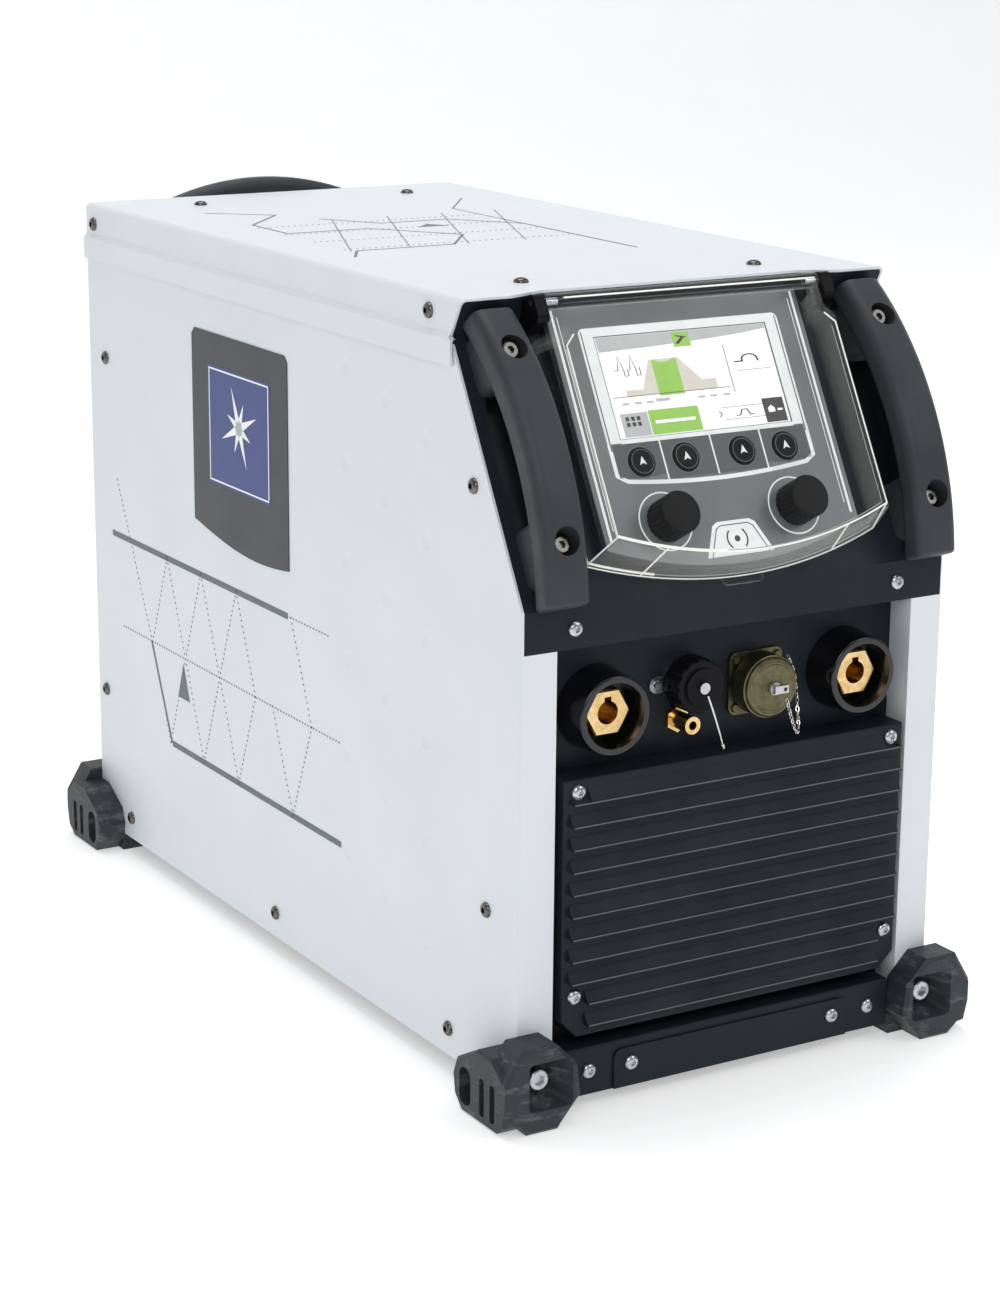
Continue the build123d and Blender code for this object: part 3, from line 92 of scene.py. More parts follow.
def on_glass(u, v, o):
    """A point on the display, u and v from 0 to 1."""
    return on_console((u - 0.5) * SCREEN[0], SCREEN_S + (v - 0.5) * SCREEN[1], GLASS_TOP + o)


# ---- outlines

def arc(x, y, radius, start, turn, steps=24):
    points = []
    for step in range(steps + 1):
        angle = start + turn * step / steps
        points.append((x + radius * cos(angle), y + radius * sin(angle)))
    return points


def circle(x, y, radius, steps=40):
    return arc(x, y, radius, 0, 2 * pi, steps)[:-1]


def ring(x, y, radius, width, steps=24):
    """Two half rings."""
    halves = []
    for start in (0, pi):
        outer = arc(x, y, radius, start, pi, steps)
        inner = arc(x, y, radius - width, start, pi, steps)
        halves.append(outer + inner[::-1])
    return halves


def rectangle(x0, x1, y0, y1):
    return [(x0, y0), (x1, y0), (x1, y1), (x0, y1)]


def stroke(points, width):
    """The outline of a line of that width along the points, with mitred corners."""
    spots = [Vector(point) for point in points]
    left, right = [], []
    for index, spot in enumerate(spots):
        before = (spot - spots[index - 1]).normalized() if index else None
        after = (spots[index + 1] - spot).normalized() if index < len(spots) - 1 else None
        ahead = ((before or after) + (after or before)).normalized()
        side = Vector((-ahead.y, ahead.x))
        reach = width / 2 / max(0.4, ahead.dot(after or before))
        left.append(tuple(spot + side * reach))
        right.append(tuple(spot - side * reach))
    return left + right[::-1]


def holed(x0, x1, y0, y1, x, y, radius):
    """A rectangle with a round hole, as a left and a right half."""
    left = [(x, y0), (x0, y0), (x0, y1), (x, y1)] + arc(x, y, radius, pi / 2, pi, 16)
    right = [(x, y1), (x1, y1), (x1, y0), (x, y0)] + arc(x, y, radius, -pi / 2, pi, 16)
    return [left, right]


def bow(half, corner, middle, steps=24):
    """Points along an arc from one side to the other, lowest in the middle."""
    return [(half * t, middle + (corner - middle) * t * t) for t in
            [2 * step / steps - 1 for step in range(steps + 1)]]


# ---- meshes

def new_object(name, mesh, finish):
    piece = bpy.data.objects.new(name, mesh)
    bpy.context.scene.collection.objects.link(piece)
    mesh.materials.clear()
    mesh.materials.append(finish)
    return piece


def printed(name, outlines, place, finish, body="root", low=0.01, high=INK):
    """Thin closed layers with the given outlines, on the surface that place describes."""
    shell = bmesh.new()
    for outline in outlines:
        bottom = [shell.verts.new(place(u, v, low)) for u, v in outline]
        top = [shell.verts.new(place(u, v, high)) for u, v in outline]
        shell.faces.new(bottom)
        shell.faces.new(top[::-1])
        for index in range(len(outline)):
            after = (index + 1) % len(outline)
            shell.faces.new((bottom[index], top[index], top[after], bottom[after]))
    bmesh.ops.recalc_face_normals(shell, faces=shell.faces)
    mesh = bpy.data.meshes.new(name)
    shell.to_mesh(mesh)
    shell.free()
    piece = new_object(name, mesh, finish)
    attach(piece, body)
    return piece


def turned(name, profile, segments, shape=lambda angle, index: 1.0):
    """A closed solid of revolution about Z, from (radius, height) pairs that start and end on the axis."""
    shell = bmesh.new()
    rings = []
    for index, (radius, height) in enumerate(profile):
        if radius == 0:
            rings.append([shell.verts.new((0, 0, height))])
            continue
        spots = []
        for step in range(segments):
            angle = 2 * pi * step / segments
            reach = radius * shape(angle, index)
            spots.append(shell.verts.new((reach * cos(angle), reach * sin(angle), height)))
        rings.append(spots)
    for lower, upper in zip(rings, rings[1:]):
        for step in range(segments):
            after = (step + 1) % segments
            corners = [lower[step % len(lower)], lower[after % len(lower)],
                       upper[after % len(upper)], upper[step % len(upper)]]
            shell.faces.new(list(dict.fromkeys(corners)))
    bmesh.ops.recalc_face_normals(shell, faces=shell.faces)
    mesh = bpy.data.meshes.new(name)
    shell.to_mesh(mesh)
    shell.free()
    return mesh


def smooth(mesh, angle=35):
    mesh.shade_smooth()
    mesh.set_sharp_from_angle(angle=angle * pi / 180)


def frozen(piece, name):
    """The evaluated result as a plain mesh, in place of the piece's own."""
    bpy.context.view_layer.update()
    graph = bpy.context.evaluated_depsgraph_get()
    mesh = bpy.data.meshes.new_from_object(piece.evaluated_get(graph))
    mesh.name = name
    piece.modifiers.clear()
    piece.data = mesh
    return piece


# ---- trees that repeat a shape

def socket_id(tree, name):
    for item in tree.interface.items_tree:
        if item.item_type == "SOCKET" and item.in_out == "INPUT" and item.name == name:
            return item.identifier
    raise KeyError(name)


def new_tree(name, inputs):
    tree = bpy.data.node_groups.new(name, "GeometryNodeTree")
    tree.interface.new_socket("Geometry", in_out="INPUT", socket_type="NodeSocketGeometry")
    for label, kind in inputs:
        tree.interface.new_socket(label, in_out="INPUT", socket_type=kind)
    tree.interface.new_socket("Geometry", in_out="OUTPUT", socket_type="NodeSocketGeometry")
    return tree, tree.nodes.new("NodeGroupInput"), tree.nodes.new("NodeGroupOutput")


def fasten_tree():
    """Sets a pattern on each point, turned to the point's own outward direction."""
    tree, start, end = new_tree("fasten", [("Pattern", "NodeSocketObject"), ("Scale", "NodeSocketFloat"),
                                           ("Finish", "NodeSocketMaterial")])
    node, link = tree.nodes.new, tree.links.new
    source = node("GeometryNodeObjectInfo")
    outward = node("GeometryNodeInputNamedAttribute")
    outward.data_type = "FLOAT_VECTOR"
    outward.inputs["Name"].default_value = "outward"
    turn = node("FunctionNodeAlignRotationToVector")
    turn.axis = "Z"
    copies = node("GeometryNodeInstanceOnPoints")
    real = node("GeometryNodeRealizeInstances")
    paint = node("GeometryNodeSetMaterial")
    link(start.outputs["Pattern"], source.inputs["Object"])
    link(outward.outputs["Attribute"], turn.inputs["Vector"])
    link(start.outputs["Geometry"], copies.inputs["Points"])
    link(source.outputs["Geometry"], copies.inputs["Instance"])
    link(turn.outputs["Rotation"], copies.inputs["Rotation"])
    link(start.outputs["Scale"], copies.inputs["Scale"])
    link(copies.outputs["Instances"], real.inputs["Geometry"])
    link(real.outputs["Geometry"], paint.inputs["Geometry"])
    link(start.outputs["Finish"], paint.inputs["Material"])
    link(paint.outputs["Geometry"], end.inputs["Geometry"])
    return tree


def dots_tree():
    """Sets a flat dot at even steps along each edge of the piece."""
    tree, start, end = new_tree("dotted_lines", [("Pattern", "NodeSocketObject"), ("Step", "NodeSocketFloat"),
                                                 ("Finish", "NodeSocketMaterial")])
    node, link = tree.nodes.new, tree.links.new
    source = node("GeometryNodeObjectInfo")
    lines = node("GeometryNodeMeshToCurve")
    steps = node("GeometryNodeResampleCurve")
    steps.mode = "LENGTH"
    copies = node("GeometryNodeInstanceOnPoints")
    real = node("GeometryNodeRealizeInstances")
    paint = node("GeometryNodeSetMaterial")
    link(start.outputs["Pattern"], source.inputs["Object"])
    link(start.outputs["Geometry"], lines.inputs["Mesh"])
    link(lines.outputs["Curve"], steps.inputs["Curve"])
    link(start.outputs["Step"], steps.inputs["Length"])
    link(steps.outputs["Curve"], copies.inputs["Points"])
    link(source.outputs["Geometry"], copies.inputs["Instance"])
    link(copies.outputs["Instances"], real.inputs["Geometry"])
    link(real.outputs["Geometry"], paint.inputs["Geometry"])
    link(start.outputs["Finish"], paint.inputs["Material"])
    link(paint.outputs["Geometry"], end.inputs["Geometry"])
    return tree


def grown(piece, tree, values):
    """The piece after the tree, with the tree's inputs set by name."""
    modifier = piece.modifiers.new(tree.name, "NODES")
    modifier.node_group = tree
    for name, value in values.items():
        modifier[socket_id(tree, name)] = value
    return frozen(piece, piece.name)


def fastened(name, spots, pattern_mesh, finish, tree):
    """One mesh with the pattern at each (point, outward) spot."""
    mesh = bpy.data.meshes.new(name)
    mesh.from_pydata([spot for spot, _ in spots], [], [])
    outward = mesh.attributes.new("outward", "FLOAT_VECTOR", "POINT")
    for index, (_, direction) in enumerate(spots):
        outward.data[index].vector = direction
    piece = new_object(name, mesh, finish)
    pattern = new_object(name + "_pattern", pattern_mesh, finish)
    grown(piece, tree, {"Pattern": pattern, "Scale": 1.0, "Finish": finish})
    bpy.data.objects.remove(pattern)
    return piece


# ---- materials

def blank(name):
    finish = bpy.data.materials.new(name)
    finish.use_nodes = True
    tree = finish.node_tree
    shader = tree.nodes["Principled BSDF"]
    coordinates = tree.nodes.new("ShaderNodeTexCoord")
    return finish, tree, shader, coordinates.outputs["Object"]


def noise(tree, where, scale, detail=3.0, roughness=0.5, stretch=None):
    source = where
    if stretch:
        mapping = tree.nodes.new("ShaderNodeMapping")
        mapping.inputs["Scale"].default_value = stretch
        tree.links.new(where, mapping.inputs["Vector"])
        source = mapping.outputs["Vector"]
    texture = tree.nodes.new("ShaderNodeTexNoise")
    texture.inputs["Scale"].default_value = scale
    texture.inputs["Detail"].default_value = detail
    texture.inputs["Roughness"].default_value = roughness
    tree.links.new(source, texture.inputs["Vector"])
    return texture.outputs["Fac"]


def ramp(tree, value, low, high, low_place=0.35, high_place=0.65):
    """A value turned into a colour between two colours."""
    node = tree.nodes.new("ShaderNodeValToRGB")
    ends = node.color_ramp.elements
    ends[0].position, ends[1].position = low_place, high_place
    ends[0].color, ends[1].color = (*low, 1), (*high, 1)
    tree.links.new(value, node.inputs["Fac"])
    return node.outputs["Color"]


def spread(tree, value, low, high):
    """A value mapped from 0.3-0.7 to a range."""
    node = tree.nodes.new("ShaderNodeMapRange")
    node.inputs["From Min"].default_value, node.inputs["From Max"].default_value = 0.3, 0.7
    node.inputs["To Min"].default_value, node.inputs["To Max"].default_value = low, high
    tree.links.new(value, node.inputs["Value"])
    return node.outputs["Result"]


def bump(tree, shader, height, strength, distance):
    node = tree.nodes.new("ShaderNodeBump")
    node.inputs["Strength"].default_value = strength
    node.inputs["Distance"].default_value = distance
    tree.links.new(height, node.inputs["Height"])
    tree.links.new(node.outputs["Normal"], shader.inputs["Normal"])


def coated(name, low, high, roughness, grain_scale, grain_strength, coat=0.0, shine=0.5):
    """Powder coat or moulded plastic: cloudy colour, uneven gloss and a fine grain."""
    finish, tree, shader, where = blank(name)
    clouds = noise(tree, where, 14, 4)
    tree.links.new(ramp(tree, clouds, low, high), shader.inputs["Base Color"])
    gloss = spread(tree, noise(tree, where, 45, 4), roughness[0], roughness[1])
    tree.links.new(gloss, shader.inputs["Roughness"])
    bump(tree, shader, noise(tree, where, grain_scale, 2, 0.6), grain_strength, 0.0002)
    shader.inputs["Specular IOR Level"].default_value = shine
    shader.inputs["Coat Weight"].default_value = coat
    shader.inputs["Coat Roughness"].default_value = 0.12
    return finish


def scuffed(name, base, mark, roughness):
    """Dark moulded plastic with pale rub marks."""
    finish, tree, shader, where = blank(name)
    marks = noise(tree, where, 60, 8, 0.7, (1.0, 1.0, 3.0))
    tree.links.new(ramp(tree, marks, base, mark, 0.52, 0.78), shader.inputs["Base Color"])
    tree.links.new(spread(tree, marks, roughness[0], roughness[1]), shader.inputs["Roughness"])
    shader.inputs["Specular IOR Level"].default_value = 0.3
    bump(tree, shader, noise(tree, where, 1100, 3, 0.6), 0.35, 0.0003)
    return finish


def metal(name, low, high, roughness, scale=220, stretch=(1.0, 6.0, 1.0)):
    """Machined or plated metal with fine tool marks."""
    finish, tree, shader, where = blank(name)
    shader.inputs["Metallic"].default_value = 1.0
    marks = noise(tree, where, scale, 4, 0.6, stretch)
    tree.links.new(ramp(tree, marks, low, high), shader.inputs["Base Color"])
    tree.links.new(spread(tree, marks, roughness[0], roughness[1]), shader.inputs["Roughness"])
    bump(tree, shader, marks, 0.12, 0.0001)
    return finish


def ink(name, colour, roughness=0.4, glow=0.0):
    """Printed ink, slightly mottled, with an optional glow; it also colours the painted highlight lines along the
    cover's edges and the louvres' lips.
    """
    finish, tree, shader, where = blank(name)
    low = [channel * 0.93 for channel in colour]
    tree.links.new(ramp(tree, noise(tree, where, 90, 3), low, colour), shader.inputs["Base Color"])
    shader.inputs["Roughness"].default_value = roughness
    shader.inputs["Specular IOR Level"].default_value = 0.3
    shader.inputs["Emission Color"].default_value = (*colour, 1)
    shader.inputs["Emission Strength"].default_value = glow
    return finish


def clear_plastic(name):
    """Clear moulding: nearly invisible face on, brighter where it is seen edge on."""
    finish, tree, shader, where = blank(name)
    shader.inputs["Base Color"].default_value = (0.93, 0.94, 0.90, 1)
    shader.inputs["Roughness"].default_value = 0.04
    shader.inputs["IOR"].default_value = 1.58
    edge = tree.nodes.new("ShaderNodeLayerWeight")
    edge.inputs["Blend"].default_value = 0.35
    amount = tree.nodes.new("ShaderNodeMapRange")
    amount.inputs["From Min"].default_value, amount.inputs["From Max"].default_value = 0.22, 0.85
    amount.inputs["To Min"].default_value, amount.inputs["To Max"].default_value = 0.004, 0.30
    tree.links.new(edge.outputs["Facing"], amount.inputs["Value"])
    tree.links.new(amount.outputs["Result"], shader.inputs["Alpha"])
    bump(tree, shader, noise(tree, where, 18, 2), 0.05, 0.001)
    return finish


WHITE = coated("white_powder_coat", (0.715, 0.755, 0.79), (0.735, 0.775, 0.808), (0.34, 0.39), 900, 0.08)
NAVY = coated("navy_powder_coat", (0.0125, 0.0165, 0.021), (0.0165, 0.021, 0.0265), (0.36, 0.48),
              1000, 0.20, shine=0.13)
CHARCOAL = coated("charcoal_moulding", (0.025, 0.029, 0.033), (0.038, 0.042, 0.047), (0.46, 0.60),
                  1500, 0.6, shine=0.4)
KNOB = coated("black_moulding", (0.004, 0.004, 0.005), (0.008, 0.008, 0.0095), (0.34, 0.48), 1200, 0.2,
              shine=0.1)
GLOSS = coated("glossy_black_moulding", (0.003, 0.003, 0.0035), (0.006, 0.006, 0.007), (0.10, 0.18),
               300, 0.04, coat=0.3, shine=0.4)
FOOT = scuffed("scuffed_foot_moulding", (0.030, 0.034, 0.039), (0.17, 0.18, 0.19), (0.40, 0.60))
OVERLAY = coated("overlay_film", (0.125, 0.137, 0.142), (0.150, 0.162, 0.168), (0.30, 0.40), 1300, 0.12)
GLASS = ink("display_glass", (0.80, 0.81, 0.80), 0.08, 0.25)
BRASS = metal("machined_brass", (0.60, 0.40, 0.17), (0.83, 0.62, 0.32), (0.14, 0.30))
ZINC = metal("bright_zinc", (0.42, 0.43, 0.45), (0.62, 0.63, 0.65), (0.20, 0.34))
NICKEL = metal("dark_nickel", (0.09, 0.085, 0.08), (0.20, 0.19, 0.175), (0.18, 0.34))
OLIVE = metal("olive_plating", (0.115, 0.105, 0.055), (0.19, 0.175, 0.10), (0.38, 0.52))
STEEL = metal("chain_steel", (0.52, 0.51, 0.48), (0.80, 0.79, 0.76), (0.12, 0.26), 500)
ALUMINIUM = metal("extruded_aluminium", (0.60, 0.61, 0.62), (0.76, 0.77, 0.78), (0.25, 0.40), 120,
                  (8.0, 0.5, 8.0))
BOARD = coated("solder_mask", (0.010, 0.060, 0.026), (0.016, 0.085, 0.036), (0.25, 0.40), 600, 0.1)
CORE = coated("lacquered_core", (0.020, 0.019, 0.018), (0.045, 0.040, 0.034), (0.35, 0.55), 400, 0.4)
HOSE = coated("rubber_hose", (0.010, 0.010, 0.010), (0.018, 0.018, 0.018), (0.55, 0.70), 700, 0.3)
CLEAR = clear_plastic("clear_moulding")
# pale glowing lines on the clear cover's outer edges: a painted highlight
CLEAR_EDGE_HIGHLIGHT = ink("clear_edge", (0.90, 0.90, 0.84), 0.08, 0.18)
# pale grey lines along the louvres' lips: a painted highlight
LIP_PAINTED_HIGHLIGHT = ink("coated_lip", (0.135, 0.150, 0.160), 0.3)
# dimmer glowing lines on the clear cover's inner edges: a painted highlight
CLEAR_EDGE_DIM_HIGHLIGHT = ink("clear_edge_dim", (0.40, 0.42, 0.42), 0.08, 0.05)
# pale print; its small emission glow is painted light that brightens it
PALE_INK_PAINTED_GLOW = ink("pale_ink", (0.82, 0.85, 0.84), glow=0.14)
DARK_INK = ink("dark_ink", (0.055, 0.062, 0.066))
FIELD_INK = ink("button_field_ink", (0.105, 0.116, 0.120))
GREY_INK = ink("grey_ink", (0.13, 0.155, 0.165))
BORDER_INK = coated("plate_border_film", (0.040, 0.043, 0.046), (0.048, 0.051, 0.055), (0.30, 0.38),
                    900, 0.06, shine=0.25)
BLUE_INK = ink("blue_ink", (0.030, 0.058, 0.23), 0.3)
LIT_WHITE = ink("lit_white", (0.86, 0.87, 0.86), 0.1, 0.35)
LIT_GREY = ink("lit_grey", (0.46, 0.47, 0.47), 0.1, 0.15)
LIT_GREEN = ink("lit_green", (0.26, 0.52, 0.07), 0.1, 0.2)
LIT_BEIGE = ink("lit_beige", (0.62, 0.58, 0.50), 0.1, 0.2)
LIT_DARK = ink("lit_dark", (0.020, 0.018, 0.017), 0.1)

FINISHES = {
    WHITE: ["side_panel_left", "side_panel_right", "top_cover"],
    NAVY: ["base_tray", "front_base_plate", "access_plate", "rear_panel", "connector_panel", "front_grille",
           "console_bezel"],
    CHARCOAL: ["handle_left", "handle_right", "rear_handle"],
    KNOB: ["button_1", "button_2", "button_3", "button_4", "knob_left", "knob_right", "cover_hinge_brackets",
           "torch_cap", "main_switch_body", "main_switch_knob", "cable_gland", "fan_frame", "fan_rotor"],
    GLOSS: ["socket_shroud_left", "socket_shroud_right"],
    FOOT: ["foot_front_left", "foot_front_right", "foot_rear_left", "foot_rear_right"],
    OVERLAY: ["face_plate"],
    GLASS: ["display_module"],
    BRASS: ["socket_contact_left", "socket_contact_right", "gas_outlet", "gas_inlet"],
    ZINC: ["foot_bolts", "torch_connector", "torch_cap_stud", "fan_guard", "encoder_shaft_left",
           "encoder_shaft_right", "cover_hinge_pins", "remote_cap_stud"],
    NICKEL: ["handle_bolts"],
    OLIVE: ["remote_connector"],
    ALUMINIUM: ["heatsink"],
    BOARD: ["control_board", "power_board"],
    CORE: ["transformer", "output_choke"],
    HOSE: ["gas_hose"],
    CLEAR: ["protective_cover"],
}


def finish_nodes():
    for finish, names in FINISHES.items():
        for name in names:
            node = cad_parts[name]
            for place in node.material_slots:
                place.material = finish


# ---- camera, floor and lights

def camera():
    view = bpy.data.objects.new("camera", bpy.data.cameras.new("camera"))
    bpy.context.scene.collection.objects.link(view)
    bpy.context.scene.camera = view
    turn, pitch, roll = -0.54082, 0.26432, 0.00817
    back = Vector((sin(turn) * cos(pitch), -cos(turn) * cos(pitch), sin(pitch)))
    level = Vector((cos(turn), sin(turn), 0))
    upright = back.cross(level)
    right = level * cos(roll) + upright * sin(roll)
    up = upright * cos(roll) - level * sin(roll)
    facing = Matrix((right, up, back)).transposed().to_4x4()
    view.matrix_world = Matrix.Translation((-0.9171, -1.5581, 0.6702)) @ facing
    view.data.lens = 81.9
    view.data.sensor_width = 36
    view.data.clip_end = 50


def area_light(name, place, target, size, power, colour=(1, 1, 1)):
    lamp = bpy.data.lights.new(name, "AREA")
    lamp.shape = "RECTANGLE"
    lamp.size, lamp.size_y = size
    lamp.energy = power
    lamp.color = colour
    thing = bpy.data.objects.new(name, lamp)
    thing.location = place
    thing.rotation_euler = (Vector(target) - Vector(place)).to_track_quat("-Z", "Y").to_euler()
    bpy.context.scene.collection.objects.link(thing)


def backdrop():
    """A pale paper sweep: floor in front, curved up behind."""
    half, front, back, radius, high = 12.0, -14.0, 2.2, 1.6, 4.5
    side = [(front, 0.0)]
    for step in range(17):
        angle = pi / 2 * step / 16
        side.append((back + radius * sin(angle), radius - radius * cos(angle)))
    side.append((back + radius, high))
    corners = [(x, y, z) for y, z in side for x in (-half, half)]
    faces = [(2 * n, 2 * n + 1, 2 * n + 3, 2 * n + 2) for n in range(len(side) - 1)]
    mesh = bpy.data.meshes.new("backdrop")
    mesh.from_pydata(corners, [], faces)
    mesh.shade_smooth()
    paper = coated("backdrop_paper", (0.86, 0.86, 0.86), (0.88, 0.88, 0.88), (0.75, 0.85), 200, 0.02)
    shader = paper.node_tree.nodes["Principled BSDF"]
    shader.inputs["Emission Color"].default_value = (1, 1, 1, 1)
    shader.inputs["Emission Strength"].default_value = 0.42
    new_object("backdrop", mesh, paper)


def studio():
    backdrop()
    world = bpy.data.worlds.new("studio")
    world.use_nodes = True
    world.node_tree.nodes["Background"].inputs["Color"].default_value = (0.93, 0.96, 1.0, 1)
    world.node_tree.nodes["Background"].inputs["Strength"].default_value = 0.34
    bpy.context.scene.world = world
    middle = (0, 0, 0.2)
    area_light("key", (-1.5, -2.4, 1.95), middle, (1.5, 1.5), 23, (1.0, 0.995, 0.98))
    area_light("above", (0.1, 0.3, 2.8), middle, (1.6, 1.6), 31)
    area_light("sheen", (1.6, -2.0, 2.0), middle, (1.2, 1.2), 13)
    area_light("rim", (2.4, 0.6, 1.2), middle, (0.6, 1.6), 6)
    bpy.context.scene.view_settings.view_transform = "Standard"


# ---- cords: the remote cap's chain and the torch cap's lanyard

CHAIN = [(27.5, -7.0, 206.5), (30.5, -8.0, 195.0), (36.0, -5.5, 185.0), (43.0, 1.5, 182.5),
         (47.0, 8.0, 191.0), (48.0, 11.5, 204.0), (46.5, 12.5, 217.0), (41.5, 12.5, 225.0)]
LANYARD = [(-23.4, -4.2, 214.5), (-20.5, -5.2, 206.0), (-17.5, -5.2, 197.5), (-14.0, -4.0, 189.5),
           (-10.0, -1.0, 182.0)]
LANYARD_DIAMETER = 0.0013


def cord_curve(name, route):
    curve = bpy.data.curves.new(name, "CURVE")
    curve.dimensions = "3D"
    curve.resolution_u = 24
    spline = curve.splines.new("NURBS")
    spline.points.add(len(route) - 1)
    for point, spot in zip(spline.points, route):
        point.co = (*at(*spot), 1)
    spline.order_u = 3
    spline.use_endpoint_u = True
    return curve


def followed(name, route):
    """Points along the route's smooth line."""
    holder = bpy.data.objects.new(name + "_line", cord_curve(name + "_line", route))
    bpy.context.scene.collection.objects.link(holder)
    bpy.context.view_layer.update()
    line = bpy.data.meshes.new_from_object(holder.evaluated_get(bpy.context.evaluated_depsgraph_get()))
    points = [vertex.co.copy() for vertex in line.vertices]
    bpy.data.objects.remove(holder)
    return points


def length_of(points):
    return sum((after - before).length for before, after in zip(points, points[1:]))


def evenly(points, count):
    """count spots along the points, with the direction at each."""
    total, spots, walked, index = length_of(points), [], 0.0, 0
    for step in range(count):
        goal = total * (step + 0.5) / count
        while walked + (points[index + 1] - points[index]).length < goal:
            walked += (points[index + 1] - points[index]).length
            index += 1
        run = points[index + 1] - points[index]
        spots.append((points[index] + run.normalized() * (goal - walked), run.normalized()))
    return spots


def chain():
    """Small oval wire links, each turned a quarter from the one before."""
    points = followed("remote_chain", CHAIN)
    shell = bmesh.new()
    count, wire, half_width = 30, 0.00042, 0.00088
    reach = length_of(points) / count * 0.5 + wire * 1.1
    for number, (spot, ahead) in enumerate(evenly(points, count)):
        across = ahead.cross(Vector((0.3, 0.2, 0.9))).normalized()
        over = ahead.cross(across).normalized()
        if number % 2:
            across, over = over, across
        rings = []
        around, section = 14, 6
        for step in range(around):
            angle = 2 * pi * step / around
            centre = spot + ahead * (reach * cos(angle)) + across * (half_width * sin(angle))
            out = (ahead * cos(angle) + across * sin(angle)).normalized()
            rings.append([shell.verts.new(centre + (out * cos(turn) + over * sin(turn)) * wire)
                          for turn in [2 * pi * part / section for part in range(section)]])
        for step in range(around):
            here, there = rings[step], rings[(step + 1) % around]
            for part in range(section):
                after = (part + 1) % section
                shell.faces.new((here[part], here[after], there[after], there[part]))
    bmesh.ops.recalc_face_normals(shell, faces=shell.faces)
    mesh = bpy.data.meshes.new("remote_chain_links")
    shell.to_mesh(mesh)
    shell.free()
    smooth(mesh, 60)
    piece = new_object("remote_chain_links", mesh, STEEL)
    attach(piece, "remote_stud")
    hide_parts("remote_chain")


def lanyard():
    """Thin wire rope with a crimped ferrule at its end."""
    points = followed("torch_lanyard", LANYARD)
    piece = bpy.data.objects.new("torch_lanyard_wire", cord_curve("torch_lanyard_wire", LANYARD))
    bpy.context.scene.collection.objects.link(piece)
    piece.data.bevel_depth = LANYARD_DIAMETER / 2
    piece.data.bevel_resolution = 3
    piece.data.use_fill_caps = True
    piece.data.materials.append(STEEL)
    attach(piece, "torch_stud")
    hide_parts("torch_lanyard")
    profile = [(0, 0), (0.0011, 0), (0.00125, 0.0004), (0.00115, 0.0012), (0.00125, 0.002),
               (0.00115, 0.0028), (0.00125, 0.0036), (0.0011, 0.004), (0, 0.004)]
    ferrule = turned("lanyard_ferrule", profile, 16)
    smooth(ferrule)
    end = points[-1] - points[-2]
    ferrule.transform(Matrix.Translation(points[-1] - end.normalized() * 0.0038)
                      @ end.to_track_quat("Z", "Y").to_matrix().to_4x4())
    tip = new_object("lanyard_ferrule", ferrule, STEEL)
    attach(tip, "torch_stud")


# ---- screws

def screw_pattern(radius, height):
    """Domed head with a six-lobed recess and a short shank."""
    lobes = 5
    recess = 0.40 * radius
    profile = [(0, -0.004), (0.0024, -0.004), (0.0024, 0), (radius, 0), (radius * 0.985, height * 0.35),
               (radius * 0.85, height * 0.72), (radius * 0.6, height * 0.95), (recess, height),
               (recess * 0.94, height * 0.35), (0, height * 0.3)]

    def lobed(angle, index):
        return 1.0 + 0.16 * cos(6 * angle) if index in (lobes + 2, lobes + 3) else 1.0

    mesh = turned("screw_pattern", profile, 36, lobed)
    smooth(mesh, 40)
    return mesh


def both_sides(spots, out):
    return [(at(side * x, y, z), Vector((side * out[0], out[1], out[2])))
            for side in (-1, 1) for x, y, z in spots]


def screws(tree):
    rear = LENGTH
    side = [(HALF, y, z) for y, z in [(rear - 26, 330), (50, 333), (rear - 13, 98), (rear - 50, 15),
                                      (rear * 0.52, 16), (75, 16), (34, 100)]]
    band = [(HALF + 0.1, 98.6, 420), (HALF + 0.1, rear - 12, 417)]
    top = [(78, 106, TOP), (78, rear - 46, TOP)]
    back = [(133, rear, z) for z in (390, 215, 45)]
    dark = both_sides(side + band, (1, 0, 0)) + both_sides(top, (0, 0, 1)) + both_sides(back, (0, 1, 0))
    heads = fastened("panel_screw_set", dark, screw_pattern(0.0044, 0.0024), NICKEL, tree)
    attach(heads, "root")
    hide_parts("panel_screws")
    grille, base = -2.5, -3.0
    fronts = [(107, 0, 262), (105, grille, 172), (106, grille, 55), (96, base, 10), (69, base - 1.5, 10)]
    bright = fastened("front_screw_set", both_sides(fronts, (0, -1, 0)), screw_pattern(0.0044, 0.0024), ZINC,
                      tree)
    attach(bright, "root")
    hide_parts("front_screws")


# ---- knurled dust cap

